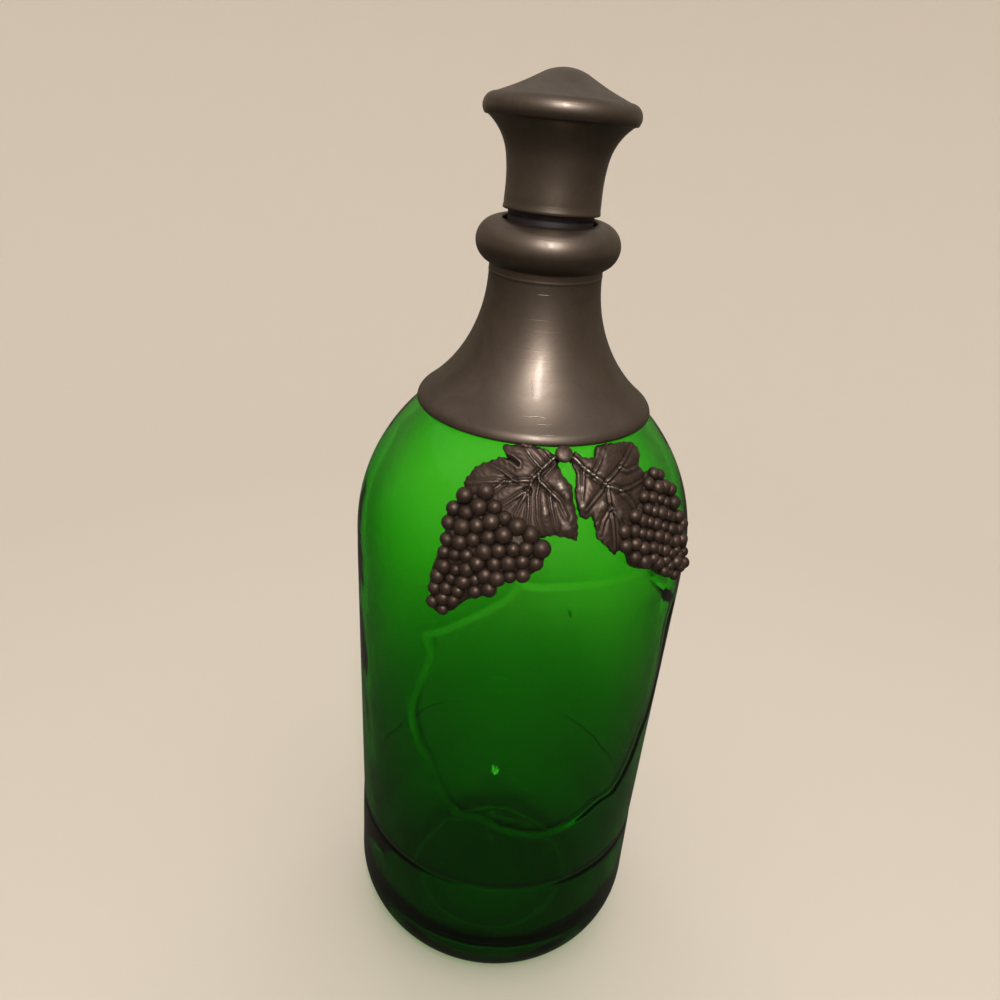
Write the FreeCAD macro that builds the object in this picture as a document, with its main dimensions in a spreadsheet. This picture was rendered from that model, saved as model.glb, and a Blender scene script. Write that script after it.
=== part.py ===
import FreeCAD, Part
import math
import os
import Sketcher

# Glass decanter: a blown bottle with a recessed label panel, a pewter collar over its neck and
# shoulder, a pewter cap on a dark stopper plug, and two cast vine sprigs hung from the collar's
# rim by a rivet. Millimetres, +Z up, origin on the bottle's axis at the plane it stands on.
# The middle of the label panel faces -Y. Bearings are measured from -Y towards +X.

NODES = ["glass_bottle", "collar", "stopper_cap", "stopper_plug", "sprig_left", "sprig_right", "rivet"]

# Driving sizes: each is set by itself.
SIZES = {
    # glass body
    "heel_taper": 2.0,
    "heel_corner_width": 17.0,
    "heel_corner_height": 23.0,
    "heel_corner_round": 13.5,
    "foot_width": 6.5,
    "punt_depth": 4.0,
    "heel_line_height": 53.7,
    "heel_line_width": 1.6,
    "heel_line_depth": 0.6,
    "waist_taper": 2.3,
    "body_radius": 55.4,
    "shoulder_height": 169.0,
    "shoulder_round": 61.0,
    "neck_radius": 15.0,
    "neck_blend": 12.0,
    "glass_wall": 3.2,
    "base_thickness": 7.0,
    "neck_bore": 11.6,
    # label panel
    "panel_depth": 1.2,
    "panel_half_width": 44.0,
    "panel_top_above_shoulder": 11.5,
    "panel_bottom_above_line": 25.3,
    "panel_lean": 2.75,
    # collar
    "fit_clearance": 0.2,
    "collar_wall": 1.6,
    "rim_radius": 36.7,
    "rim_roll": 4.0,
    "rim_step": 1.6,
    "flare_round": 47.0,
    "neck_straight": 2.4,
    "bead_round": 6.5,
    "bead_radius": 21.2,
    # stopper
    "plug_radius": 12.55,
    "plug_gap": 1.2,
    "plug_shank_length": 22.0,
    "plug_taper": 0.6,
    "lip_below_bead": 4.6,
    "cap_gap": 2.1,
    "cap_foot_radius": 14.1,
    "cap_waist_radius": 13.85,
    "cap_waist_rise": 6.6,
    "cap_low_flare_rise": 7.7,
    "cap_low_flare_round": 45.0,
    "cap_flare_rise": 9.8,
    "cap_flare_reach": 6.2,
    "cap_flare_round": 15.2,
    "cap_rim_round": 2.9,
    "cap_rim_height": 5.0,
    "cap_rim_inset": 0.6,
    "cap_dome_rise": 6.7,
    "cap_tip_radius": 5.9,
    "cap_tip_round": 14.0,
    # vine sprigs
    "sprig_turn": -5.5,
    "sprig_clearance": 0.2,
    "leaf_thickness": 1.8,
    "grape_radius": 2.9,
    "grape_pitch": 4.9,
    "grape_edge_inset": 1.7,
    "grape_lift": 1.8,
    "grape_seat": 0.7,
    "bunch_plate": 1.3,
    "rivet_drop": 2.6,
    "rivet_radius": 2.9,
    "rivet_edge": 0.9,
    "rivet_height": 1.9,
}

# Sizes that follow from the driving ones, so that what seats or lines up stays together.
TIES = {
    # heel and waist of the glass, each a little narrower than its shoulder
    "heel_radius": "body_radius - heel_taper",
    "waist_radius": "body_radius - waist_taper",
    "foot_radius": "heel_radius - heel_corner_width",
    "foot_inner_radius": "foot_radius - foot_width",
    "punt_round": "(foot_inner_radius^2 + punt_depth^2) / (2 * punt_depth)",
    "heel_side_round": "(heel_corner_width^2 + (heel_corner_height - heel_corner_round)^2"
    " - heel_corner_round^2) / (2 * (heel_corner_width - heel_corner_round))",
    "heel_join_share": "heel_corner_round / (heel_side_round - heel_corner_round)",
    "heel_join_radius": "foot_radius + heel_join_share * (foot_radius - heel_radius + heel_side_round)",
    "heel_join_height": "heel_corner_round - heel_join_share * (heel_corner_height - heel_corner_round)",
    "line_low": "heel_line_height - heel_line_width / 2",
    "line_high": "heel_line_height + heel_line_width / 2",
    "line_radius": "waist_radius - heel_line_depth",
    # shoulder arc and the hollow curve that leads it into the neck
    "shoulder_centre": "body_radius - shoulder_round",
    "blend_height": "shoulder_height + sqrt((shoulder_round + neck_blend)^2"
    " - (neck_radius + neck_blend - shoulder_centre)^2)",
    "blend_join_share": "shoulder_round / (shoulder_round + neck_blend)",
    "blend_join_radius": "shoulder_centre + blend_join_share * (neck_radius + neck_blend - shoulder_centre)",
    "blend_join_height": "shoulder_height + blend_join_share * (blend_height - shoulder_height)",
    # collar seat: the rim's foot rests on the shoulder, a wall in from its outside
    "rim_inner_radius": "rim_radius - collar_wall + fit_clearance",
    "rim_height": "shoulder_height + sqrt(shoulder_round^2"
    " - (rim_inner_radius - fit_clearance - shoulder_centre)^2)",
    "collar_bore": "neck_radius + fit_clearance",
    "collar_neck_radius": "collar_bore + collar_wall",
    "flare_centre": "collar_neck_radius + flare_round",
    "flare_height": "rim_height + sqrt((flare_round + rim_roll)^2 - (flare_centre - rim_radius + rim_roll)^2)",
    "roll_join_share": "rim_roll / (flare_round + rim_roll)",
    "roll_join_radius": "rim_radius - rim_roll + roll_join_share * (flare_centre - rim_radius + rim_roll)",
    "roll_join_height": "rim_height + roll_join_share * (flare_height - rim_height)",
    "flare_inner_round": "flare_round + collar_wall",
    "flare_inner_height": "rim_height + rim_step",
    "flare_inner_radius": "flare_centre - sqrt(flare_inner_round^2 - (flare_height - flare_inner_height)^2)",
    "bead_centre": "bead_radius - bead_round",
    "bead_foot_height": "flare_height + neck_straight",
    "bead_height": "bead_foot_height + sqrt(bead_round^2 - (collar_neck_radius - bead_centre)^2)",
    "bead_top": "bead_height + bead_round",
    "mouth_radius": "plug_radius + plug_gap",
    "mouth_height": "bead_height + sqrt(bead_round^2 - (bead_centre - mouth_radius)^2)",
    "lip_height": "bead_top - lip_below_bead",
    "lip_seat_height": "lip_height + fit_clearance",
    # inside of the glass
    "inner_heel_radius": "heel_radius - glass_wall",
    "inner_foot_radius": "foot_radius - glass_wall",
    "inner_heel_height": "heel_corner_height",
    "inner_corner_height": "base_thickness + punt_depth",
    "inner_corner_round": "heel_corner_width",
    "inner_body_radius": "body_radius - glass_wall",
    "inner_shoulder_round": "shoulder_round - glass_wall",
    "inner_blend": "neck_radius + neck_blend - neck_bore",
    "inner_blend_height": "shoulder_height + sqrt((inner_shoulder_round + inner_blend)^2"
    " - (neck_bore + inner_blend - shoulder_centre)^2)",
    "inner_join_share": "inner_shoulder_round / (inner_shoulder_round + inner_blend)",
    "inner_join_radius": "shoulder_centre + inner_join_share * (neck_bore + inner_blend - shoulder_centre)",
    "inner_join_height": "shoulder_height + inner_join_share * (inner_blend_height - shoulder_height)",
    # stopper
    "plug_shank_radius": "neck_bore - fit_clearance",
    "plug_tip_radius": "plug_shank_radius - plug_taper",
    "plug_tip_height": "lip_height - plug_shank_length",
    "cap_foot_height": "bead_top + cap_gap",
    "cap_waist_height": "cap_foot_height + cap_waist_rise",
    "cap_low_flare_height": "cap_waist_height + cap_low_flare_rise",
    "cap_low_flare_radius": "cap_waist_radius + cap_low_flare_round"
    " - sqrt(cap_low_flare_round^2 - cap_low_flare_rise^2)",
    "cap_lip_height": "cap_low_flare_height + cap_flare_rise",
    "cap_lip_radius": "cap_low_flare_radius + cap_flare_reach",
    "cap_shoulder_height": "cap_lip_height + cap_rim_height",
    "cap_shoulder_radius": "cap_lip_radius - cap_rim_inset",
    "cap_tip_height": "cap_shoulder_height + cap_dome_rise",
    "cap_top": "cap_tip_height + cap_tip_round - sqrt(cap_tip_round^2 - cap_tip_radius^2)",
    # label panel
    "panel_top": "shoulder_height + panel_top_above_shoulder",
    "panel_bottom": "heel_line_height + panel_bottom_above_line",
    # vine sprigs
    "leaf_top_lift": "sprig_clearance + leaf_thickness",
    "rivet_dome": "rivet_height - rivet_edge",
    "rivet_round": "(rivet_radius^2 + rivet_dome^2) / (2 * rivet_dome)",
}

# Room that a cutting or trimming shape takes beyond what it cuts.
MARGIN = 5.0

# Label panel, right half, from its top middle round to its bottom middle: share of the half width,
# and share of the height from the bottom (0) to the top (1). True marks a corner of the outline.
PANEL_HALF = [
    (0.00, 1.000, False),
    (0.40, 1.000, False),
    (0.46, 1.020, True),
    (0.54, 0.955, False),
    (0.68, 0.895, False),
    (0.88, 0.800, False),
    (0.97, 0.755, True),
    (0.93, 0.687, True),
    (0.97, 0.570, False),
    (1.00, 0.430, False),
    (0.94, 0.312, False),
    (0.87, 0.262, False),
    (0.82, 0.196, False),
    (0.74, 0.125, False),
    (0.63, 0.070, True),
    (0.47, 0.070, False),
    (0.32, 0.034, False),
    (0.00, 0.000, False),
]

# Vine leaves, seen from outside the bottle: distance right of the rivet and height above it,
# round the outline. Each pair is a tip or a notch between two lobes.
LEAF_LEFT = [
    (-0.8, -2.2), (-3.4, -1.2), (-4.6, 1.4), (-7.0, 2.0), (-13.0, 4.0), (-19.0, 2.5), (-17.5, -2.0),
    (-15.0, -3.5), (-19.0, -2.6), (-25.0, -5.0), (-31.0, -9.5), (-28.5, -14.0), (-24.0, -17.0),
    (-16.0, -24.0), (-9.0, -26.0), (-7.5, -19.0), (-3.0, -19.5), (1.6, -21.0), (1.6, -14.5),
    (0.2, -10.5), (1.2, -5.5),
]
LEAF_RIGHT = [
    (0.6, -2.2), (3.4, -1.2), (4.6, 1.4), (9.0, 2.0), (14.0, 4.0), (19.0, 3.0), (26.0, 2.5),
    (26.5, -7.0), (31.0, -11.0), (25.0, -20.0), (18.0, -24.0), (13.5, -30.0), (9.5, -26.5),
    (8.0, -21.5), (4.6, -20.5), (3.2, -15.0), (3.4, -10.0), (3.0, -5.0),
]

# Grape bunches: corners of the outline that the grapes fill, in the same measure as the leaves.
BUNCH_LEFT = [(-22.0, -12.0), (-31.0, -14.0), (-37.0, -22.0), (-41.5, -36.0), (-42.0, -47.5),
              (-35.5, -47.5), (-27.0, -41.0), (-15.0, -36.0), (-7.5, -28.0), (-7.5, -22.0),
              (-13.0, -18.0), (-20.0, -17.0)]
BUNCH_RIGHT = [(29.0, -11.0), (36.0, -11.5), (41.0, -19.0), (45.5, -29.0), (46.5, -40.0), (43.0, -45.0),
               (35.0, -40.0), (24.0, -33.0), (16.5, -26.0), (17.0, -20.0), (24.0, -18.0)]

doc = FreeCAD.newDocument("glass_decanter")
sheet = doc.addObject("Spreadsheet::Sheet", "dims")


def fill_sheet():
    row = 0
    for names, mark in ((SIZES, ""), (TIES, "=")):
        for name, value in names.items():
            row += 1
            sheet.set(f"A{row}", name)
            sheet.set(f"B{row}", f"{mark}{value}")
            sheet.setAlias(f"B{row}", name)
            if mark:
                doc.recompute()
    doc.recompute()


def size(name):
    """Value of a named size; 0 stands for the axis or the standing plane."""
    return 0.0 if name == 0 else float(getattr(sheet, name))


def arc_centre(start, end, radius, side):
    middle = (start + end) * 0.5
    along = end - start
    half = along.Length / 2
    across = FreeCAD.Vector(-along.y, along.x, 0).normalize()
    return middle + across * (side * math.sqrt(max(radius * radius - half * half, 0.0)))


def profile(sketch, outline):
    """Draws a closed outline whose every corner and radius is bound to a named size.

    outline is a list of (across, up, bend): the corner's two sizes, and how the edge that leaves it
    runs: None for straight, or (radius size, side), with side +1 when the arc's centre lies to
    the left of the way along the outline.
    """
    count = len(outline)
    corners = [FreeCAD.Vector(size(across), size(up), 0) for across, up, _ in outline]
    ends = []
    for index, (_, _, bend) in enumerate(outline):
        start = corners[index]
        end = corners[(index + 1) % count]
        if bend is None:
            geometry = sketch.addGeometry(Part.LineSegment(start, end), False)
            ends.append((geometry, 1, 2))
            continue
        radius = size(bend[0])
        centre = arc_centre(start, end, radius, bend[1])
        circle = Part.Circle(centre, FreeCAD.Vector(0, 0, 1), radius)
        from_angle = math.atan2(start.y - centre.y, start.x - centre.x)
        to_angle = math.atan2(end.y - centre.y, end.x - centre.x)
        turning_left = bend[1] > 0
        if not turning_left:
            from_angle, to_angle = to_angle, from_angle
        geometry = sketch.addGeometry(Part.ArcOfCircle(circle, from_angle, to_angle), False)
        ends.append((geometry, 1, 2) if turning_left else (geometry, 2, 1))
        number = sketch.addConstraint(Sketcher.Constraint("Radius", geometry, radius))
        sketch.setExpression(f"Constraints[{number}]", f"dims.{bend[0]}")
    for index, (across, up, _) in enumerate(outline):
        geometry, first, _ = ends[index]
        before, _, last = ends[index - 1]
        sketch.addConstraint(Sketcher.Constraint("Coincident", before, last, geometry, first))
        for name, kind, axis in ((across, "DistanceX", -2), (up, "DistanceY", -1)):
            if name == 0:
                sketch.addConstraint(Sketcher.Constraint("PointOnObject", geometry, first, axis))
                continue
            held = Sketcher.Constraint(kind, -1, 1, geometry, first, size(name))
            number = sketch.addConstraint(held)
            sketch.setExpression(f"Constraints[{number}]", f"dims.{name}")


def turned_body(label, outline):
    """A body of revolution about Z from an outline in the XZ plane."""
    body = doc.addObject("PartDesign::Body", label)
    body.Label = label
    planes = {plane.Role: plane for plane in body.Origin.OriginFeatures}
    sketch = body.newObject("Sketcher::SketchObject", f"{label}_profile")
    sketch.AttachmentSupport = [(planes["XZ_Plane"], "")]
    sketch.MapMode = "FlatFace"
    profile(sketch, outline)
    doc.recompute()
    turn = body.newObject("PartDesign::Revolution", f"{label}_turn")
    turn.Profile = sketch
    turn.ReferenceAxis = (planes["Z_Axis"], [""])
    turn.Angle = 360.0
    body.Tip = turn
    sketch.Visibility = False
    doc.recompute()
    return body


def shoulder_radius(height):
    """Outside radius of the glass at a height on its wall or shoulder."""
    above = height - size("shoulder_height")
    if above <= 0:
        share = (height - size("line_high")) / (size("shoulder_height") - size("line_high"))
        return size("waist_radius") + share * (size("body_radius") - size("waist_radius"))
    return size("shoulder_centre") + math.sqrt(size("shoulder_round") ** 2 - above ** 2)


def at_bearing(radius, bearing, height):
    angle = math.radians(bearing)
    return FreeCAD.Vector(radius * math.sin(angle), -radius * math.cos(angle), height)


def smooth_edges(points):
    """Curves through (point, is corner) pairs, broken at the corners. The first is a corner."""
    starts = [index for index, (_, corner) in enumerate(points) if corner]
    edges = []
    for start, end in zip(starts, starts[1:] + [starts[0] + len(points)]):
        run = [points[index % len(points)][0] for index in range(start, end + 1)]
        if len(run) == 2:
            edges.append(Part.LineSegment(run[0], run[1]).toShape())
            continue
        curve = Part.BSplineCurve()
        curve.interpolate(run)
        edges.append(curve.toShape())
    return edges


def glass_line(shift, low, high):
    """The glass's outside line in the XZ plane, shifted outwards, from one height to another."""
    shoulder = size("shoulder_height")
    rounding = size("shoulder_round") + shift
    centre = FreeCAD.Vector(size("shoulder_centre"), 0, shoulder)

    def on_shoulder(height):
        across = math.sqrt(rounding ** 2 - (height - shoulder) ** 2)
        return centre + FreeCAD.Vector(across, 0, height - shoulder)

    start = max(low, shoulder)
    ends = [on_shoulder(start), on_shoulder((start + high) / 2), on_shoulder(high)]
    edges = [Part.Arc(*ends).toShape()]
    if low < shoulder:
        foot = FreeCAD.Vector(shoulder_radius(low) + shift, 0, low)
        edges.insert(0, Part.LineSegment(foot, ends[0]).toShape())
        return edges, foot, ends[-1]
    return edges, ends[0], ends[-1]


def shell_between(inner, outer, low, high):
    """Ring of space that follows the glass, between two distances out from it."""
    inside_edges, inside_foot, inside_head = glass_line(inner, low, high)
    outside_edges, outside_foot, outside_head = glass_line(outer, low, high)
    sides = [Part.LineSegment(inside_foot, outside_foot).toShape(),
             Part.LineSegment(inside_head, outside_head).toShape()]
    wire = Part.Wire(Part.__sortEdges__(inside_edges + outside_edges + sides))
    return Part.Face(wire).revolve(FreeCAD.Vector(0, 0, 0), FreeCAD.Vector(0, 0, 1), 360)


def panel_cutter():
    """The label panel's recess: its outline pushed in along Y, and taken to an even depth."""
    low, high = size("panel_bottom"), size("panel_top")
    reach = size("panel_half_width")
    lean = math.tan(math.radians(size("panel_lean")))
    whole = PANEL_HALF + [(-across, up, corner) for across, up, corner in PANEL_HALF[-2:0:-1]]
    outside = size("body_radius") + 2 * MARGIN
    points = []
    for across, up, corner in whole:
        height = low + up * (high - low)
        shifted = across * reach + lean * (height - (low + high) / 2)
        points.append((FreeCAD.Vector(shifted, -outside, height), corner))
    first = [corner for _, corner in points].index(True)
    points = points[first:] + points[:first]
    face = Part.Face(Part.Wire(smooth_edges(points)))
    prism = face.extrude(FreeCAD.Vector(0, outside - MARGIN, 0))
    shell = shell_between(-size("panel_depth"), MARGIN, low - MARGIN, high + MARGIN)
    return prism.common(shell)


def sprig_spot(across, up):
    """Point on the glass, across and up from the rim's middle, and the way straight out of the glass.

    Above the rim both keep to the rim's own radius.
    """
    height = size("rim_height") + up
    on_glass = min(height, size("rim_height"))
    radius = shoulder_radius(on_glass)
    bearing = size("sprig_turn") + math.degrees(across / radius)
    slope = max(on_glass - size("shoulder_height"), 0.0) / size("shoulder_round")
    return at_bearing(radius, bearing, height), at_bearing(math.sqrt(1 - slope ** 2), bearing, slope)


def inside(across, up, corners):
    crossings = 0
    for (x0, y0), (x1, y1) in zip(corners, corners[1:] + corners[:1]):
        if (y0 > up) != (y1 > up) and across < x0 + (up - y0) * (x1 - x0) / (y1 - y0):
            crossings += 1
    return crossings % 2 == 1


def grape_spots(corners):
    """Staggered rows of grapes that fill a bunch's outline."""
    pitch = size("grape_pitch")
    row_rise = pitch * math.sqrt(3) / 2
    across_low = min(x for x, _ in corners)
    across_high = max(x for x, _ in corners)
    up_low = min(y for _, y in corners)
    up_high = max(y for _, y in corners)
    inset = size("grape_edge_inset")
    spots = []
    for row in range(int((up_high - up_low) / row_rise) + 2):
        up = up_low + inset + row * row_rise
        for column in range(int((across_high - across_low) / pitch) + 2):
            across = across_low + inset + (column + 0.5 * (row % 2)) * pitch
            if inside(across, up, corners):
                spots.append((across, up))
    return spots


def outline_prism(corners):
    """An outline on the glass, taken straight out through it along the middle's bearing."""
    middle = sum(across for across, _ in corners) / len(corners)
    spot, _ = sprig_spot(middle, min(up for _, up in corners) / 2)
    outward = FreeCAD.Vector(spot.x, spot.y, 0).normalize()
    sideways = FreeCAD.Vector(-outward.y, outward.x, 0)
    near = size("rim_radius") / 2
    points = []
    for across, up in corners:
        spot, _ = sprig_spot(across, up)
        points.append(outward * near + sideways * spot.dot(sideways) + FreeCAD.Vector(0, 0, spot.z))
    face = Part.Face(Part.makePolygon(points + [points[0]]))
    return face.extrude(outward * (size("body_radius") + 2 * MARGIN - near))


def plate(corners, thickness):
    """The part of a sprig that hugs the shoulder, and laps up over the collar's rim."""
    gap = size("sprig_clearance")
    rim = size("rim_height")
    low = rim + min(up for _, up in corners) - MARGIN
    shell = shell_between(gap, gap + thickness, low, rim - gap)
    inner = size("rim_radius") + gap
    foot = FreeCAD.Vector(0, 0, rim - thickness / 2)
    tall = size("rim_roll") + MARGIN
    lap = Part.makeCylinder(inner + thickness, tall, foot).cut(Part.makeCylinder(inner, tall, foot))
    return outline_prism(corners).common(shell.fuse(lap))


def grape(across, up):
    """A ball, flat where it sits in the bunch's plate."""
    spot, outward = sprig_spot(across, up)
    lift = size("grape_lift")
    cut_angle = math.degrees(math.asin((lift - size("grape_seat")) / size("grape_radius")))
    return Part.makeSphere(size("grape_radius"), spot + outward * lift, outward, -cut_angle, 90, 360)


def sprig(label, leaf, bunch):
    """One cast sprig: a leaf that lies on the shoulder, with its grapes in the same metal."""
    pieces = [plate(bunch, size("bunch_plate"))]
    pieces += [grape(across, up) for across, up in grape_spots(bunch)]
    feature = doc.addObject("Part::Feature", label)
    feature.Label = label
    feature.Shape = plate(leaf, size("leaf_thickness")).fuse(pieces)
    feature.Placement = FreeCAD.Placement()
    return feature


fill_sheet()

glass_blank = turned_body("glass_blank", [
    (0, "punt_depth", ("punt_round", -1)),
    ("foot_inner_radius", 0, None),
    ("foot_radius", 0, ("heel_corner_round", 1)),
    ("heel_join_radius", "heel_join_height", ("heel_side_round", 1)),
    ("heel_radius", "heel_corner_height", None),
    ("waist_radius", "line_low", None),
    ("line_radius", "heel_line_height", None),
    ("waist_radius", "line_high", None),
    ("body_radius", "shoulder_height", ("shoulder_round", 1)),
    ("blend_join_radius", "blend_join_height", ("neck_blend", -1)),
    ("neck_radius", "blend_height", None),
    ("neck_radius", "lip_height", None),
    ("neck_bore", "lip_height", None),
    ("neck_bore", "inner_blend_height", ("inner_blend", 1)),
    ("inner_join_radius", "inner_join_height", ("inner_shoulder_round", -1)),
    ("inner_body_radius", "shoulder_height", None),
    ("inner_heel_radius", "inner_heel_height", ("inner_corner_round", -1)),
    ("inner_foot_radius", "inner_corner_height", None),
    (0, "inner_corner_height", None),
])

recess = doc.addObject("Part::Feature", "panel_recess")
recess.Shape = panel_cutter()
glass = doc.addObject("Part::Cut", "glass_bottle")
glass.Label = "glass_bottle"
glass.Base = glass_blank
glass.Tool = recess

turned_body("collar", [
    ("rim_inner_radius", "rim_height", None),
    ("rim_radius", "rim_height", ("rim_roll", 1)),
    ("roll_join_radius", "roll_join_height", ("flare_round", -1)),
    ("collar_neck_radius", "flare_height", None),
    ("collar_neck_radius", "bead_foot_height", ("bead_round", 1)),
    ("bead_radius", "bead_height", ("bead_round", 1)),
    ("mouth_radius", "mouth_height", None),
    ("mouth_radius", "lip_seat_height", None),
    ("collar_bore", "lip_seat_height", None),
    ("collar_bore", "flare_height", ("flare_inner_round", 1)),
    ("flare_inner_radius", "flare_inner_height", None),
])

turned_body("stopper_plug", [
    (0, "plug_tip_height", None),
    ("plug_tip_radius", "plug_tip_height", None),
    ("plug_shank_radius", "lip_height", None),
    ("plug_radius", "lip_height", None),
    ("plug_radius", "cap_foot_height", None),
    (0, "cap_foot_height", None),
])

turned_body("stopper_cap", [
    (0, "cap_foot_height", None),
    ("cap_foot_radius", "cap_foot_height", None),
    ("cap_waist_radius", "cap_waist_height", ("cap_low_flare_round", -1)),
    ("cap_low_flare_radius", "cap_low_flare_height", ("cap_flare_round", -1)),
    ("cap_lip_radius", "cap_lip_height", ("cap_rim_round", 1)),
    ("cap_shoulder_radius", "cap_shoulder_height", None),
    ("cap_tip_radius", "cap_tip_height", ("cap_tip_round", 1)),
    (0, "cap_top", None),
])

doc.recompute()
sprig("sprig_left", LEAF_LEFT, BUNCH_LEFT)
sprig("sprig_right", LEAF_RIGHT, BUNCH_RIGHT)

rivet = turned_body("rivet", [
    (0, 0, None),
    ("rivet_radius", 0, None),
    ("rivet_radius", "rivet_edge", ("rivet_round", 1)),
    (0, "rivet_height", None),
])
seat, outward = sprig_spot(0, -size("rivet_drop"))
rivet.Placement = FreeCAD.Placement(
    seat + outward * size("leaf_top_lift"), FreeCAD.Rotation(FreeCAD.Vector(0, 0, 1), outward))
doc.recompute()

for thing in doc.Objects:
    if "Invalid" in thing.State or "Error" in thing.State:
        raise RuntimeError(f"{thing.Label} failed: {thing.State}")

labelled = {thing.Label: thing for thing in doc.Objects}
os.makedirs("parts", exist_ok=True)
for node in NODES:
    shape = labelled[node].Shape
    if shape.isNull() or not shape.isValid() or shape.Volume <= 0:
        raise RuntimeError(f"{node} has no valid solid")
for node in NODES:
    shape = labelled[node].Shape
    shape.exportStep(f"parts/{node}.step")
    box = shape.BoundBox
    print(f"{node}: {len(shape.Solids)} solid, {shape.Volume:.0f} mm3,"
          f" {box.XMin:.1f}..{box.XMax:.1f}, {box.YMin:.1f}..{box.YMax:.1f}, {box.ZMin:.1f}..{box.ZMax:.1f}")
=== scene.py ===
import math
import random

import bmesh
import bpy
import numpy as np
from mathutils import Matrix, Vector, noise
from mathutils.geometry import delaunay_2d_cdt

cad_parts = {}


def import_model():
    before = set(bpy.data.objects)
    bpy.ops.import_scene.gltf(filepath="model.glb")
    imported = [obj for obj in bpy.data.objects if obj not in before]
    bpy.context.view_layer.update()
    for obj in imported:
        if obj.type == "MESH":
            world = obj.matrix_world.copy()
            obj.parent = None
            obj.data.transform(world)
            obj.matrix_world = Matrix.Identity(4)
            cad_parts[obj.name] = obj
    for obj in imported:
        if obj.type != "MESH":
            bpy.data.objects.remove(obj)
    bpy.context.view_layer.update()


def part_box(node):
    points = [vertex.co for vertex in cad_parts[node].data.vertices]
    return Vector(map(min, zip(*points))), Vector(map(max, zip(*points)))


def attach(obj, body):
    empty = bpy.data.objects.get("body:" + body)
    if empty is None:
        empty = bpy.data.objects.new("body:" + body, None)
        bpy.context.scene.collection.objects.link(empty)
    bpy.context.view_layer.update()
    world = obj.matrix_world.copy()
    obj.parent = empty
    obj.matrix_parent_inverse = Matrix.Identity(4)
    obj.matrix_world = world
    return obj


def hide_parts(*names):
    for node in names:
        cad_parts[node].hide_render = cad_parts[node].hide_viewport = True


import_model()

# A green glass decanter with a recessed label panel, a pewter collar, a capped stopper and two cast
# vine sprigs. Outlines below are in millimetres, as (radius, height) or (across, up); meshes are in
# metres. Bearings are measured from -Y, the middle of the label panel, towards +X.

MM = 0.001


def box_mm(node):
    low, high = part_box(node)
    return low / MM, high / MM


_, GLASS_HIGH = box_mm("glass_bottle")
COLLAR_LOW, COLLAR_HIGH = box_mm("collar")
CAP_LOW, CAP_HIGH = box_mm("stopper_cap")
PLUG_LOW, PLUG_HIGH = box_mm("stopper_plug")
RIVET_LOW, RIVET_HIGH = box_mm("rivet")

# ------------------------------------------------------------------------------- sizes, mm
BODY_RADIUS = GLASS_HIGH.x
LIP = GLASS_HIGH.z
RIM = COLLAR_LOW.z
RIM_RADIUS = COLLAR_HIGH.x
BEAD_TOP = COLLAR_HIGH.z
CAP_FOOT = CAP_LOW.z
CAP_TOP = CAP_HIGH.z

SHOULDER = 169.0
SHOULDER_ROUND = 61.0
SHOULDER_CENTRE = BODY_RADIUS - SHOULDER_ROUND
WAIST_RADIUS = 53.1
HEEL_RADIUS = 53.4
HEEL_LINE = 53.7
GROOVE_DEPTH = 0.24
GROOVE_WIDTH = 1.2
GROOVE_STEP = 0.14
SHOULDER_EASE = 0.14
WALL = 3.2
BORE = 11.6
NECK_RADIUS = 15.0

PANEL_DEPTH = 0.6
PANEL_LEDGE = 2.3
PANEL_HALF_WIDTH = 44.0
PANEL_LOW = 79.0
PANEL_HIGH = 180.5
PANEL_LEAN = math.tan(math.radians(2.75))

SPRIG_TURN = -5.5
SPRIG_GAP = 0.25


# ------------------------------------------------------------------------------- outlines
CORNER = True


def arc(start, end, radius, side, steps):
    """Points on an arc from start to end; side +1 when its centre is left of the way along."""
    start, end = Vector(start), Vector(end)
    middle, along = (start + end) / 2, end - start
    across = Vector((-along.y, along.x)).normalized()
    centre = middle + across * side * math.sqrt(max(radius ** 2 - (along.length / 2) ** 2, 0))
    first = math.atan2(start.y - centre.y, start.x - centre.x)
    last = math.atan2(end.y - centre.y, end.x - centre.x)
    turn = (last - first + math.pi) % (2 * math.pi) - math.pi
    return [(centre.x + radius * math.cos(first + turn * i / steps),
             centre.y + radius * math.sin(first + turn * i / steps)) for i in range(steps + 1)]


def line(start, end, steps):
    """Evenly spaced points on a straight run."""
    return [(start[0] + (end[0] - start[0]) * i / steps, start[1] + (end[1] - start[1]) * i / steps)
            for i in range(steps + 1)]


def joined(*runs):
    """One run of points from several, without the repeated ends."""
    points = []
    for run in runs:
        for point in run:
            if not points or math.dist(point, points[-1]) > 1e-4:
                points.append(point)
    return points


def smooth_loop(points, spacing):
    """A closed curve in even steps through (x, y) points. A point with a third item is a corner."""
    count = len(points)
    corner = [len(point) > 2 for point in points]
    made = []
    for i in range(count):
        after = (i + 1) % count
        p0, p1, p2, p3 = (Vector(points[(i + k) % count][:2]) for k in (-1, 0, 1, 2))
        slope_in = (p2 - p1) * 0.9 if corner[i] else (p2 - p0) / 2
        slope_out = (p2 - p1) * 0.9 if corner[after] else (p3 - p1) / 2
        steps = max(2, round((p2 - p1).length / spacing))
        for step in range(steps):
            t = step / steps
            a = 2 * t ** 3 - 3 * t ** 2 + 1
            b = t ** 3 - 2 * t ** 2 + t
            c = -2 * t ** 3 + 3 * t ** 2
            d = t ** 3 - t ** 2
            made.append(p1 * a + slope_in * b + p2 * c + slope_out * d)
    return np.array([tuple(p) for p in made])


def edge_normals(loop):
    """Unit vectors square to a closed loop, to the right of the way round it."""
    way = np.roll(loop, -1, axis=0) - np.roll(loop, 1, axis=0)
    way /= np.hypot(*way.T)[:, None]
    return np.column_stack([way[:, 1], -way[:, 0]])


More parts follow.
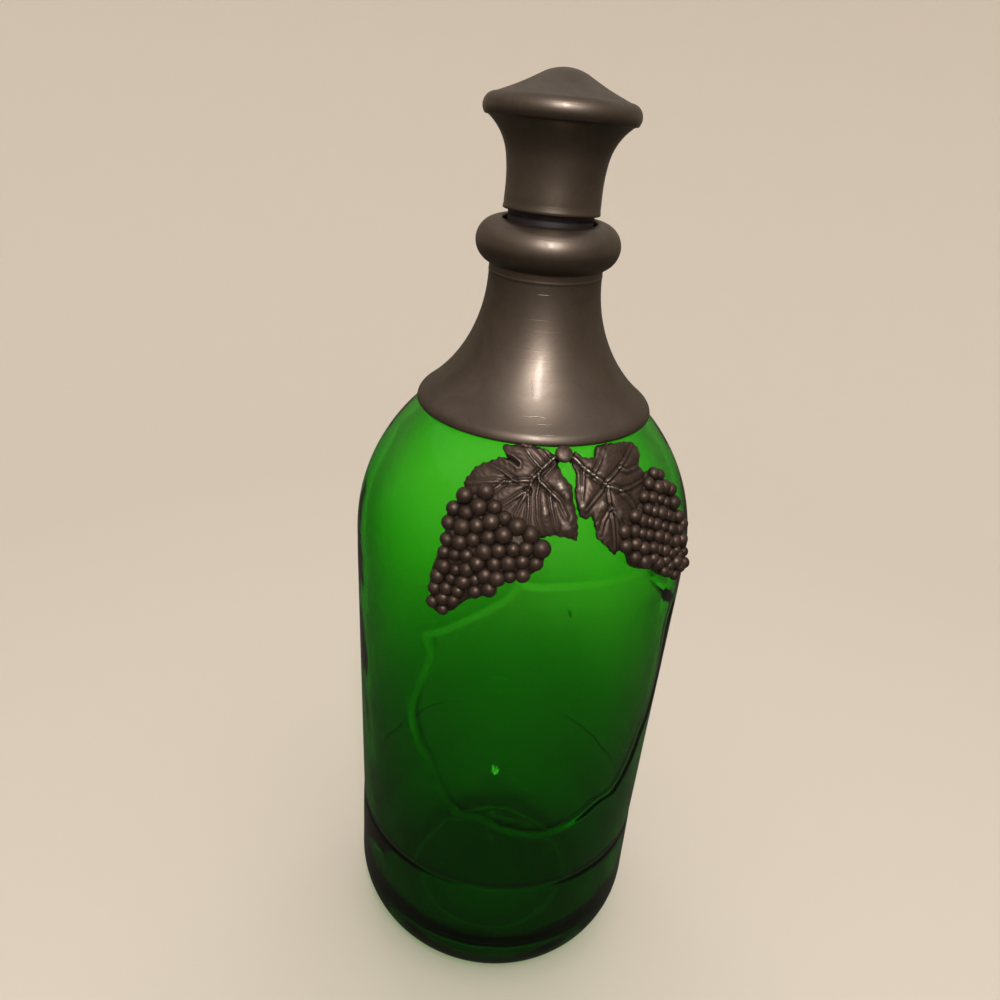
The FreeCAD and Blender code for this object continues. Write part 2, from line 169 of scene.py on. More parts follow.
def distance_to_line(points, run):
    """Shortest distance from each point to a run of straight pieces, and how far along it that is."""
    best = np.full(len(points), 1e9)
    along = np.zeros(len(points))
    travelled = 0.0
    for a, b in zip(run[:-1], run[1:]):
        way = b - a
        length = np.hypot(*way)
        if length < 1e-9:
            continue
        share = np.clip(((points - a) @ way) / length ** 2, 0, 1)
        gap = np.hypot(*(points - a - share[:, None] * way).T)
        nearer = gap < best
        best[nearer] = gap[nearer]
        along[nearer] = travelled + share[nearer] * length
        travelled += length
    return best, along


def inside(points, loop):
    """Which points lie inside a closed loop."""
    result = np.zeros(len(points), bool)
    x, y = points[:, 0], points[:, 1]
    for (x0, y0), (x1, y1) in zip(loop, np.roll(loop, -1, axis=0)):
        if y0 == y1:
            continue
        crosses = ((y0 > y) != (y1 > y)) & (x < x0 + (y - y0) * (x1 - x0) / (y1 - y0))
        result ^= crosses
    return result


def depth_inside(points, loop):
    """Distance to a closed loop: positive inside it, negative outside."""
    closed = np.vstack([loop, loop[:1]])
    gap, _ = distance_to_line(points, closed)
    return np.where(inside(points, loop), gap, -gap)


def hex_grid(low, high, spacing):
    """Points in staggered rows that fill a box."""
    rows = np.arange(low[1], high[1], spacing * math.sqrt(3) / 2)
    made = []
    for number, y in enumerate(rows):
        x = np.arange(low[0] + spacing * 0.5 * (number % 2), high[0], spacing)
        made.append(np.column_stack([x, np.full(len(x), y)]))
    return np.vstack(made)


# ------------------------------------------------------------------------------- mesh helpers
def new_object(name, mesh):
    thing = bpy.data.objects.new(name, mesh)
    bpy.context.scene.collection.objects.link(thing)
    return thing


def mesh_from(name, points, faces):
    mesh = bpy.data.meshes.new(name)
    mesh.from_pydata([tuple(p) for p in points], [], [tuple(f) for f in faces])
    return mesh


def closed_and_smooth(mesh, merge=1e-6):
    """Welds the seams and poles of a mesh, and makes it smooth with its faces outwards."""
    work = bmesh.new()
    work.from_mesh(mesh)
    bmesh.ops.remove_doubles(work, verts=work.verts, dist=merge)
    bmesh.ops.recalc_face_normals(work, faces=work.faces)
    work.to_mesh(mesh)
    work.free()
    mesh.polygons.foreach_set("use_smooth", np.ones(len(mesh.polygons), bool))
    mesh.update()


def finished(thing, node, material):
    """Puts a finished piece in the place of its CAD node."""
    thing.data.materials.clear()
    thing.data.materials.append(material)
    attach(thing, "root")
    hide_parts(node)


def set_layers(mesh, **layers):
    """Gives the points of a mesh a value each, or all the same value, in every named layer."""
    for label, values in layers.items():
        layer = mesh.attributes.new(label, "FLOAT", "POINT")
        layer.data.foreach_set("value", np.full(len(mesh.vertices), values, np.float32))


def plain_mesh(thing):
    """The evaluated shape of an object as a mesh without modifiers."""
    graph = bpy.context.evaluated_depsgraph_get()
    return bpy.data.meshes.new_from_object(thing.evaluated_get(graph), preserve_all_data_layers=True,
                                           depsgraph=graph)


def grown(holder, tree, **values):
    """The plain mesh that a geometry tree makes from an object, with its named inputs set."""
    modifier = holder.modifiers.new(tree.name, "NODES")
    modifier.node_group = tree
    for item in tree.interface.items_tree:
        key = item.name.replace(" ", "_")
        if item.item_type == "SOCKET" and item.in_out == "INPUT" and key in values:
            modifier[item.identifier] = values[key]
    return plain_mesh(holder)


# ------------------------------------------------------------------------------- node helpers
def fill(tree, made, values):
    """Sets a node's inputs, or links those whose value is a socket."""
    for name, value in values.items():
        socket = made.inputs[name.replace("_", " ") if isinstance(name, str) else name]
        if isinstance(value, bpy.types.NodeSocket):
            tree.links.new(value, socket)
        else:
            socket.default_value = value
    return made


def node(tree, kind, sets=None, **facts):
    """A node with its properties set, and its inputs set or linked."""
    made = tree.nodes.new(kind)
    for name, value in facts.items():
        setattr(made, name, value)
    return fill(tree, made, sets or {})


def node_tree(name, inputs, outputs, kind="GeometryNodeTree"):
    """A node group with named sockets, given as (name, kind, default), and what it is given."""
    tree = bpy.data.node_groups.new(name, kind)
    for label, socket, default in inputs:
        made = tree.interface.new_socket(label, in_out="INPUT", socket_type=f"NodeSocket{socket}")
        if default is not None:
            made.default_value = default
    for label, socket in outputs:
        tree.interface.new_socket(label, in_out="OUTPUT", socket_type=f"NodeSocket{socket}")
    return tree, node(tree, "NodeGroupInput").outputs


def maths(tree, operation, *values):
    """One sum on numbers or sockets."""
    return node(tree, "ShaderNodeMath", dict(enumerate(values)), operation=operation).outputs[0]


def mixed(tree, factor, first, second, **facts):
    """First colour where factor is 0, second where it is 1."""
    return node(tree, "ShaderNodeMix", {"Factor": factor, 6: first, 7: second}, data_type="RGBA",
                **facts).outputs[2]


def ranged(tree, value, low, high, to_low=0.0, to_high=1.0, **facts):
    """A value carried from one range to another."""
    return node(tree, "ShaderNodeMapRange", {
        "Value": value, "From Min": low, "From Max": high, "To Min": to_low, "To Max": to_high},
        **facts).outputs["Result"]


def noisy(tree, place, scale, detail, **more):
    """Cloudy values of about 0 to 1."""
    return node(tree, "ShaderNodeTexNoise", {"Vector": place, "Scale": scale, "Detail": detail,
                                             **more}).outputs["Fac"]


def place_on(tree):
    return node(tree, "ShaderNodeTexCoord").outputs["Object"]


def apart(tree, place):
    return node(tree, "ShaderNodeSeparateXYZ", {0: place}).outputs


def bumped(tree, height, strength, distance):
    return node(tree, "ShaderNodeBump", {"Height": height, "Strength": strength,
                                         "Distance": distance}).outputs["Normal"]


def group(tree, source, **sets):
    return node(tree, "ShaderNodeGroup", sets, node_tree=source).outputs


def coated(tree, geometry, finish):
    """Ends a geometry tree: smooth, real and in its finish."""
    for kind, sets in (("GeometryNodeSetShadeSmooth", {}), ("GeometryNodeRealizeInstances", {}),
                       ("GeometryNodeSetMaterial", {"Material": finish})):
        geometry = node(tree, kind, {"Geometry": geometry, **sets}).outputs[0]
    node(tree, "NodeGroupOutput", {"Geometry": geometry})
    return tree


# ------------------------------------------------------------------------------- finishes
def stain_group():
    """Two colours mixed in soft cloudy patches, with the sheen going duller where it is stained."""
    tree, given = node_tree("Stain", [
        ("Clean Colour", "Color", None), ("Stained Colour", "Color", None),
        ("Patch Scale", "Float", 60.0), ("Amount", "Float", 0.5),
        ("Clean Roughness", "Float", 0.3), ("Stained Roughness", "Float", 0.5),
    ], [("Colour", "Color"), ("Roughness", "Float")], "ShaderNodeTree")
    broad = noisy(tree, place_on(tree), given["Patch Scale"], 6.0, Roughness=0.62, Distortion=0.6)
    soft = ranged(tree, broad, 0.35, 0.7, interpolation_type="SMOOTHSTEP")
    amount = maths(tree, "MULTIPLY", soft, given["Amount"])
    rough = ranged(tree, amount, 0.0, 1.0, given["Clean Roughness"], given["Stained Roughness"])
    node(tree, "NodeGroupOutput", {
        "Colour": mixed(tree, amount, given["Clean Colour"], given["Stained Colour"]),
        "Roughness": rough})
    return tree


def grain_group():
    """Fine surface height: soft cast pitting with hairline marks that run round the axis."""
    tree, given = node_tree("Metal Grain", [
        ("Pit Scale", "Float", 900.0), ("Pit Height", "Float", 0.3),
        ("Hairline Scale", "Float", 1.0), ("Hairline Height", "Float", 0.3),
    ], [("Height", "Float")], "ShaderNodeTree")
    place = place_on(tree)
    pits = noisy(tree, place, given["Pit Scale"], 3.0, Roughness=0.55)
    flat = node(tree, "ShaderNodeMapping", {"Vector": place, "Scale": (24.0, 24.0, 2600.0)}).outputs[0]
    hairs = ranged(tree, noisy(tree, flat, given["Hairline Scale"], 2.0), 0.62, 0.75)
    node(tree, "NodeGroupOutput", {"Height": maths(
        tree, "SUBTRACT", maths(tree, "MULTIPLY", pits, given["Pit Height"]),
        maths(tree, "MULTIPLY", hairs, given["Hairline Height"]))})
    return tree


def stroke_group():
    """Mask of one short scratch on a turned piece, placed by bearing and height."""
    tree, given = node_tree("Scratch Stroke", [
        ("Bearing", "Float", 0.0), ("Height", "Float", 0.0), ("Half Length", "Float", 0.004),
        ("Half Width", "Float", 0.0002), ("Tilt", "Float", 0.0), ("Radius", "Float", 0.03),
    ], [("Mask", "Float")], "ShaderNodeTree")
    place = place_on(tree)
    x, y, z = apart(tree, place)
    bearing = maths(tree, "ARCTAN2", x, maths(tree, "MULTIPLY", y, -1.0))
    across = maths(tree, "MULTIPLY", maths(tree, "SUBTRACT", bearing, given["Bearing"]), given["Radius"])
    wobble = maths(tree, "MULTIPLY_ADD", noisy(tree, place, 350.0, 2.0), 0.0009, -0.00045)
    up = maths(tree, "ADD", maths(tree, "SUBTRACT", z, given["Height"]), wobble)
    spot = node(tree, "ShaderNodeCombineXYZ", {"X": across, "Y": up}).outputs[0]
    along = apart(tree, node(tree, "ShaderNodeVectorRotate", {"Vector": spot, "Angle": given["Tilt"]},
                             rotation_type="Z_AXIS").outputs[0])
    masks = [ranged(tree, maths(tree, "DIVIDE", maths(tree, "ABSOLUTE", along[axis]), given[limit]),
                    0.3, 1.0, 1.0, 0.0, interpolation_type="SMOOTHSTEP")
             for axis, limit in (("X", "Half Length"), ("Y", "Half Width"))]
    node(tree, "NodeGroupOutput", {"Mask": maths(tree, "MULTIPLY", *masks)})
    return tree


STAIN, GRAIN, STROKE = stain_group(), grain_group(), stroke_group()


def stroke_mask(tree, radius, bearing, height, half_length, half_width, tilt):
    """Mask of a scratch whose sizes are given in mm and degrees."""
    return group(tree, STROKE, Radius=radius * MM, Bearing=math.radians(bearing), Height=height * MM,
                 Half_Length=half_length * MM, Half_Width=half_width * MM,
                 Tilt=math.radians(tilt))["Mask"]


def material(name):
    made = bpy.data.materials.new(name)
    made.use_nodes = True
    return made, made.node_tree, made.node_tree.nodes["Principled BSDF"]


def green_glass():
    """Emerald glass: its colour is inside it, with painted shade on its surface, darker towards the
    bottom and where its sides turn away.
    """
    made, tree, shader = material("emerald_glass")
    place = place_on(tree)
    # Painted shade: the surface colour darkens towards the bottom.
    up = ranged(tree, apart(tree, place)["Z"], 0.06, 0.202, interpolation_type="SMOOTHSTEP")
    painted_low_shade = mixed(tree, up, (0.03, 0.26, 0.03, 1), (1.0, 1.0, 1.0, 1))
    # Painted shade: the surface colour darkens where the sides turn away from view.
    slant = node(tree, "ShaderNodeLayerWeight", {"Blend": 0.35}).outputs["Facing"]
    painted_edge_shade = mixed(tree, ranged(tree, slant, 0.12, 0.62), painted_low_shade, (0.12, 0.20, 0.10, 1),
                 blend_type="MULTIPLY")
    speck = stroke_mask(tree, BODY_RADIUS, -3.0, 170.1, 1.5, 0.32, 88.0)
    film = noisy(tree, place, 45.0, 5.0, Roughness=0.6)
    fill(tree, shader, {
        "IOR": 1.48, "Transmission Weight": 1.0,
        "Base Color": mixed(tree, speck, painted_edge_shade, (0.006, 0.03, 0.006, 1)),
        "Roughness": ranged(tree, film, 0.55, 0.8, 0.0, 0.035),
        "Normal": bumped(tree, noisy(tree, place, 55.0, 2.0), 0.25, 0.0006)})
    tint = node(tree, "ShaderNodeVolumeAbsorption", {"Color": (0.36, 0.98, 0.06, 1), "Density": 600.0})
    shadow = node(tree, "ShaderNodeBsdfTransparent", {"Color": (0.42, 0.74, 0.38, 1)})
    surface = node(tree, "ShaderNodeMixShader", {
        0: node(tree, "ShaderNodeLightPath").outputs["Is Shadow Ray"], 1: shader.outputs[0],
        2: shadow.outputs[0]})
    fill(tree, tree.nodes["Material Output"], {"Surface": surface.outputs[0], "Volume": tint.outputs[0]})
    return made


def pewter():
    """Satin grey brown pewter with cloudy staining, spinning marks and a few scratches."""
    made, tree, shader = material("satin_pewter")
    stain = group(tree, STAIN, Clean_Colour=(0.215, 0.175, 0.148, 1), Clean_Roughness=0.40,
                  Stained_Colour=(0.150, 0.119, 0.098, 1), Stained_Roughness=0.50,
                  Patch_Scale=42.0, Amount=0.9)
    grain = group(tree, GRAIN, Pit_Scale=1400.0, Pit_Height=0.25, Hairline_Scale=1.0,
                  Hairline_Height=0.35)
    strokes = 0.0
    for scratch in SCRATCHES:
        strokes = maths(tree, "MAXIMUM", strokes, stroke_mask(tree, SCRATCH_RADIUS, *scratch))
    fill(tree, shader, {
        "Metallic": 1.0, "Coat Weight": 0.25, "Coat Roughness": 0.16, "Roughness": stain["Roughness"],
        "Base Color": mixed(tree, strokes, stain["Colour"], (0.27, 0.23, 0.195, 1)),
        "Normal": bumped(tree, maths(tree, "SUBTRACT", grain["Height"], strokes), 0.35, 0.00012)})
    return made


def dark_plug():
    """Blue black moulded stopper, slightly worn."""
    made, tree, shader = material("dark_plug")
    stain = group(tree, STAIN, Clean_Colour=(0.005, 0.002, 0.005, 1), Clean_Roughness=0.55,
                  Stained_Colour=(0.012, 0.006, 0.011, 1), Stained_Roughness=0.65,
                  Patch_Scale=160.0, Amount=0.8)
    grain = group(tree, GRAIN, Pit_Scale=900.0, Pit_Height=0.3, Hairline_Scale=0.5, Hairline_Height=0.5)
    fill(tree, shader, {"Base Color": stain["Colour"], "Roughness": stain["Roughness"],
                        "Normal": bumped(tree, grain["Height"], 0.4, 0.0001)})
    return made


def aged_casting():
    """Dark patinated casting that is rubbed bright on its raised veins and edges."""
    made, tree, shader = material("aged_casting")
    stain = group(tree, STAIN, Clean_Colour=(0.122, 0.086, 0.071, 1), Clean_Roughness=0.43,
                  Stained_Colour=(0.066, 0.046, 0.038, 1), Stained_Roughness=0.55,
                  Patch_Scale=170.0, Amount=0.9)
    place = place_on(tree)
    rub, hollow = (node(tree, "ShaderNodeAttribute", attribute_name=label).outputs["Fac"]
                   for label in ("worn", "hollow"))
    patch = maths(tree, "MULTIPLY_ADD", noisy(tree, place, 420.0, 4.0), 0.9, -0.45)
    worn = ranged(tree, maths(tree, "ADD", rub, patch), 0.35, 0.95)
    dark = mixed(tree, hollow, stain["Colour"], (0.010, 0.007, 0.006, 1))
    smoother = maths(tree, "MULTIPLY_ADD", worn, -0.12, 0.0)
    fill(tree, shader, {
        "Metallic": 0.85, "Base Color": mixed(tree, worn, dark, (0.36, 0.31, 0.27, 1)),
        "Roughness": maths(tree, "ADD", stain["Roughness"], smoother),
        "Normal": bumped(tree, noisy(tree, place, 1300.0, 3.0), 0.4, 0.00015)})
    return made


# Scratches on the collar: bearing, height, half length, half width, tilt, in degrees and mm. Their
# length is measured at a middle radius of the collar.
SCRATCH_RADIUS = 30.0
SCRATCHES = [
    (-22.0, 227.5, 2.2, 0.22, 68.0),
    (-19.0, 221.0, 3.6, 0.12, 1.5),
    (-14.0, 219.6, 2.2, 0.09, -2.0),
    (-12.0, 217.4, 1.8, 0.09, 1.0),
    (-20.0, 252.2, 4.5, 0.20, 0.0),
    (-23.0, 266.4, 1.6, 0.16, 42.0),
]

GLASS_FINISH = green_glass()
PEWTER_FINISH = pewter()
PLUG_FINISH = dark_plug()
CASTING_FINISH = aged_casting()


# ------------------------------------------------------------------------------- turned pieces
def turned_tree():
    """Turns an outline, a row of points (radius, 0, height), once round the axis."""
    tree, given = node_tree("Turned Piece", [
        ("Outline", "Object", None), ("Outline Points", "Int", 2), ("Columns", "Int", 96),
        ("Merge Distance", "Float", 0.000001), ("Finish", "Material", None),
    ], [("Geometry", "Geometry")])
    rows, columns = given["Outline Points"], given["Columns"]
    sheet = node(tree, "GeometryNodeMeshGrid", {"Vertices X": maths(tree, "ADD", columns, 1.0),
                                                "Vertices Y": rows})
    index = node(tree, "GeometryNodeInputIndex").outputs[0]
    column = maths(tree, "FLOOR", maths(tree, "DIVIDE", index, rows))
    bearing = maths(tree, "MULTIPLY", maths(tree, "DIVIDE", column, columns), 2 * math.pi)
    outline = node(tree, "GeometryNodeObjectInfo", {"Object": given["Outline"]})
    place = node(tree, "GeometryNodeInputPosition").outputs[0]
    spot = apart(tree, node(tree, "GeometryNodeSampleIndex", {
        "Geometry": outline.outputs["Geometry"], "Value": place,
        "Index": maths(tree, "MODULO", index, rows)}, data_type="FLOAT_VECTOR").outputs[0])
    x, y = (maths(tree, "MULTIPLY", spot["X"], maths(tree, way, bearing)) for way in ("SINE", "COSINE"))
    there = node(tree, "ShaderNodeCombineXYZ", {"X": x, "Y": maths(tree, "MULTIPLY", y, -1.0),
                                                "Z": spot["Z"]})
    wrapped = node(tree, "GeometryNodeSetPosition", {
        "Geometry": sheet.outputs["Mesh"], "Position": there.outputs[0]})
    welded = node(tree, "GeometryNodeMergeByDistance", {
        "Geometry": wrapped.outputs[0], "Distance": given["Merge Distance"]})
    return coated(tree, welded.outputs[0], given["Finish"])


TURNED = turned_tree()


def turned(name, outline, columns, finish):
    """A piece turned from an outline of (radius, height) in mm."""
    points = [(r * MM, 0, z * MM) for r, z in outline]
    guide = new_object(f"{name}_outline", mesh_from(f"{name}_outline", points, []))
    piece = new_object(name, bpy.data.meshes.new(name))
    piece.data = grown(piece, TURNED, Outline=guide, Outline_Points=len(points), Columns=columns,
                       Finish=finish)
    piece.modifiers.clear()
    bpy.data.objects.remove(guide)
    closed_and_smooth(piece.data)
    return piece


# ------------------------------------------------------------------------------- glass bottle
FOOT = 36.4
FOOT_INNER = 29.9
PUNT = 4.0
HEEL_HEIGHT = 23.0
HEEL_CORNER = 13.5
BASE_INSIDE = 11.0
BLEND = 12.0
INNER_BLEND = NECK_RADIUS + BLEND - BORE
PATCH_LOW, PATCH_HIGH = 72.0, 188.0
PATCH_BEARING = 63.0
UNEVEN_LOW, UNEVEN_HIGH = 14, 226
COLUMN_STEP = 1.5


def wall_radius(height):
    """Outside radius of the glass above the heel, the groove at the heel line included."""
    height = np.asarray(height, float)
    low = HEEL_RADIUS + (WAIST_RADIUS - HEEL_RADIUS) * (height - HEEL_HEIGHT) / (HEEL_LINE - HEEL_HEIGHT)
    share = (height - HEEL_LINE) / (SHOULDER - HEEL_LINE)
    side = WAIST_RADIUS + (BODY_RADIUS - WAIST_RADIUS) * share
    above = np.clip(height - SHOULDER, 0, SHOULDER_ROUND * 0.999)
    dome = SHOULDER_CENTRE + np.sqrt(SHOULDER_ROUND ** 2 - above ** 2)
    radius = np.where(height < HEEL_LINE, low, np.where(height < SHOULDER, side, dome))
    radius -= SHOULDER_EASE * np.exp(-((height - SHOULDER) / 7.0) ** 2)
    groove = np.exp(-((height - HEEL_LINE) / GROOVE_WIDTH) ** 2)
    fade = np.clip((height - 30) / 12, 0, 1)
    step = GROOVE_STEP / (1 + np.exp((height - HEEL_LINE + 0.4) / 0.35)) * fade
    return radius - GROOVE_DEPTH * groove + step


def neck_blend(radius_low, neck, blend, centre):
    """Join with the shoulder, and foot of the neck, for a hollow curve of radius blend."""
    top = SHOULDER + math.sqrt((radius_low + blend) ** 2 - (neck + blend - centre) ** 2)
    share = radius_low / (radius_low + blend)
    return (centre + share * (neck + blend - centre), SHOULDER + share * (top - SHOULDER)), (neck, top)


def heel_curve():
    """The foot ring and the two rounds of the heel."""
    side_round = ((HEEL_RADIUS - FOOT) ** 2 + (HEEL_HEIGHT - HEEL_CORNER) ** 2 - HEEL_CORNER ** 2) / (
        2 * (HEEL_RADIUS - FOOT - HEEL_CORNER))
    share = HEEL_CORNER / (side_round - HEEL_CORNER)
    meet = (FOOT + share * (FOOT - HEEL_RADIUS + side_round),
            HEEL_CORNER - share * (HEEL_HEIGHT - HEEL_CORNER))
    punt_round = (FOOT_INNER ** 2 + PUNT ** 2) / (2 * PUNT)
    return joined(arc((0, PUNT), (FOOT_INNER, 0.0), punt_round, -1, 16),
                  line((FOOT_INNER, 0.0), (FOOT, 0.0), 3),
                  arc((FOOT, 0.0), meet, HEEL_CORNER, 1, 9),
                  arc(meet, (HEEL_RADIUS, HEEL_HEIGHT), side_round, 1, 9))


def outer_rows():
    """From the middle of the punt, round the heel and up the wall to the lip."""
    heights = np.unique(np.concatenate([
        np.arange(HEEL_HEIGHT, HEEL_LINE - 3, 3.0), np.arange(HEEL_LINE - 3, HEEL_LINE + 3, 0.3),
        np.arange(HEEL_LINE + 3, PATCH_LOW, 3.0), np.linspace(PATCH_LOW, PATCH_HIGH, 40)]).round(4))
    wall = [(float(wall_radius(h)), float(h)) for h in heights[1:]]
    join, neck = neck_blend(SHOULDER_ROUND, NECK_RADIUS, BLEND, SHOULDER_CENTRE)
    dome = [(SHOULDER_CENTRE + math.sqrt(SHOULDER_ROUND ** 2 - (h - SHOULDER) ** 2), float(h))
            for h in np.linspace(PATCH_HIGH, join[1], 20)[1:]]
    rim = [(NECK_RADIUS, LIP - 0.9), (NECK_RADIUS - 0.3, LIP - 0.25), (NECK_RADIUS - 0.9, LIP)]
    return joined(heel_curve(), wall, dome, arc(join, neck, BLEND, -1, 8), line(neck, rim[0], 3), rim)


def inner_rows():
    """From the lip down to the middle of the floor. The wall is a little thicker low down."""
    inner_round = SHOULDER_ROUND - WALL
    join, neck = neck_blend(inner_round, BORE, INNER_BLEND, SHOULDER_CENTRE)
    body = BODY_RADIUS - WALL
    wall = [(body - (h / SHOULDER < 1) * 2.6 * (1 - h / SHOULDER), float(h))
            for h in np.linspace(SHOULDER, HEEL_HEIGHT + 4, 30)]
    floor = arc(wall[-1], (FOOT - WALL, BASE_INSIDE - 0.6), 20.0, -1, 10)
    return joined([(BORE + 0.9, LIP), (BORE + 0.3, LIP - 0.25), (BORE, LIP - 0.9)],
                  line((BORE, LIP - 0.9), neck, 4), arc(neck, join, INNER_BLEND, 1, 10),
                  arc(join, (body, SHOULDER), inner_round, -1, 18), wall, floor,
                  line(floor[-1], (0, BASE_INSIDE), 6))


def ring_faces(rows, columns, skip=None):
    """Quads between rows and bearings, without those that skip says the panel patch covers."""
    faces = []
    for r in range(len(rows) - 1):
        for c in range(columns):
            if skip and skip(r, c):
                continue
            d = (c + 1) % columns
            here, above = r * columns, (r + 1) * columns
            faces.append((here + c, here + d, above + d, above + c))
    return faces


# Label panel: share of its half width and share of its height. A third item marks a corner.
PANEL_HALF = [
    (0.00, 1.000), (0.20, 1.000), (0.40, 1.000), (0.46, 1.020, CORNER),
    (0.54, 0.955), (0.68, 0.895), (0.88, 0.800), (0.97, 0.755),
    (0.935, 0.687), (0.97, 0.570), (1.00, 0.430), (0.94, 0.312),
    (0.87, 0.262), (0.82, 0.196), (0.74, 0.125), (0.63, 0.070, CORNER),
    (0.47, 0.070), (0.32, 0.034), (0.00, 0.000),
]


def panel_loop():
    """The panel's outline unrolled on the body: distance round it, and height."""
    whole = PANEL_HALF + [(-across, *rest) for across, *rest in PANEL_HALF[-2:0:-1]]
    spots = []
    for across, up, *corner in whole:
        height = PANEL_LOW + up * (PANEL_HIGH - PANEL_LOW)
        x = across * PANEL_HALF_WIDTH + PANEL_LEAN * (height - (PANEL_LOW + PANEL_HIGH) / 2)
        bearing = math.asin(min(x / float(wall_radius(height)), 1.0))
        spots.append((bearing * BODY_RADIUS, height, *corner))
    return smooth_loop(spots, 0.7)


def sunk(depth_in):
    """How far the glass is sunk at a distance in from the panel's outline."""
    share = np.clip((depth_in + 0.4) / (PANEL_LEDGE + 0.6), 0, 1)
    soft = share * share * (3 - 2 * share)
    lip = 0.06 * np.exp(-((depth_in + 0.6) / 0.7) ** 2)
    return PANEL_DEPTH * (0.15 * share + 0.85 * soft) - lip


def panel_patch(edge_heights):
    """The part of the outer wall round the label panel, meshed along the panel's outline."""
    half = math.radians(PATCH_BEARING) * BODY_RADIUS
    step = math.radians(COLUMN_STEP) * BODY_RADIUS
    count = round(2 * half / step)
    loop = panel_loop()
    edge = [(-half + step * i, PATCH_LOW) for i in range(count + 1)]
    edge += [(half, h) for h in edge_heights[1:-1]]
    edge += [(half - step * i, PATCH_HIGH) for i in range(count + 1)]
    edge += [(-half, h) for h in edge_heights[-2:0:-1]]
    inward = edge_normals(loop)
    bands = []
    for offset in (-1.5, -0.8, -0.3, 0.35, 0.8, 1.4, PANEL_LEDGE - 0.35, PANEL_LEDGE, PANEL_LEDGE + 0.5):
        spots = loop + inward * offset
        gap = depth_inside(spots, loop)
        bands.append(spots[np.abs(gap - offset) < 0.04])
    grid = hex_grid((-half + 0.7, PATCH_LOW + 0.7), (half - 0.6, PATCH_HIGH - 0.6), 1.35)
    gap = depth_inside(grid, loop)
    grid = grid[(gap < -1.9) | (gap > PANEL_LEDGE + 1.1)]
    points = np.vstack([np.array(edge), loop] + bands + [grid])
    first = len(edge)
    ties = [(first + i, first + (i + 1) % len(loop)) for i in range(len(loop))]
    ties += [(i, (i + 1) % first) for i in range(first)]
    flat, _, faces = delaunay_2d_cdt([Vector(p) for p in points], ties, [], 0, 1e-5)[:3]
    flat = np.array([tuple(p) for p in flat])
    depth = sunk(depth_inside(flat, loop))
    radius = wall_radius(flat[:, 1]) - depth
    bearing = flat[:, 0] / BODY_RADIUS
    spots = np.column_stack([radius * np.sin(bearing), -radius * np.cos(bearing), flat[:, 1]])
    return spots, faces


def ripple(point, size, seed):
    """Slow unevenness of blown glass at a point, about -1 to 1."""
    return noise.noise(Vector((point[0] / size + seed, point[1] / size, point[2] / size)))


def glass_bottle():
    """The whole bottle: turned inside and out, with the panel's patch set into its front."""
    outer, inner = outer_rows(), inner_rows()
    rows = outer + inner[1:]
    columns = round(360 / COLUMN_STEP)
    bearings = [math.radians(-180 + COLUMN_STEP * c) for c in range(columns)]
    heights = [h for _, h in outer]
    low_row, high_row = (min(range(len(outer)), key=lambda i: abs(heights[i] - edge))
                         for edge in (PATCH_LOW, PATCH_HIGH))
    first = round((180 - PATCH_BEARING) / COLUMN_STEP)
    last = round((180 + PATCH_BEARING) / COLUMN_STEP)

    def covered(row, column):
        return low_row <= row < high_row and first <= column < last

    points = [(r * math.sin(b), -r * math.cos(b), h) for r, h in rows for b in bearings]
    faces = ring_faces(rows, columns, covered)
    patch, patch_faces = panel_patch(heights[low_row:high_row + 1])
    start = len(points)
    points += [tuple(p) for p in patch]
    faces += [tuple(start + i for i in f) for f in patch_faces]
    mesh = mesh_from("glass_bottle_body", points, faces)
    closed_and_smooth(mesh, merge=2e-3)
    for vertex in mesh.vertices:
        x, y, z = vertex.co
        radius = math.hypot(x, y)
        if radius < 20 or z < UNEVEN_LOW or z > UNEVEN_HIGH:
            continue
        fade = min(1.0, (z - UNEVEN_LOW) / 20, (UNEVEN_HIGH - z) / 12)
        outside = radius > float(wall_radius(min(z, 212.0))) - 2.1
        if outside:
            move = -0.05 * fade * (1 + ripple(vertex.co, 21.0, 3.0))
        else:
            move = fade * (0.30 * ripple(vertex.co, 26.0, 11.0) + 0.10 * ripple(vertex.co, 9.0, 5.0))
        vertex.co.x += move * x / radius
        vertex.co.y += move * y / radius
    mesh.transform(Matrix.Scale(MM, 4))
    return new_object("glass_bottle_body", mesh)


# ------------------------------------------------------------------------------- metal outlines
COLLAR_WALL = 1.6
CLEAR = 0.2
RIM_ROLL = 4.0
FLARE = 47.0
COLLAR_NECK = NECK_RADIUS + CLEAR + COLLAR_WALL
FLARE_CENTRE = COLLAR_NECK + FLARE
FLARE_TOP = RIM + math.sqrt((FLARE + RIM_ROLL) ** 2 - (FLARE_CENTRE - RIM_RADIUS + RIM_ROLL) ** 2)
BEAD_RADIUS = 21.2
BEAD_ROUND = 6.5
BEAD_CENTRE = BEAD_RADIUS - BEAD_ROUND
BEAD_FOOT = FLARE_TOP + 2.4
BEAD_HEIGHT = BEAD_TOP - BEAD_ROUND
MOUTH = 13.75


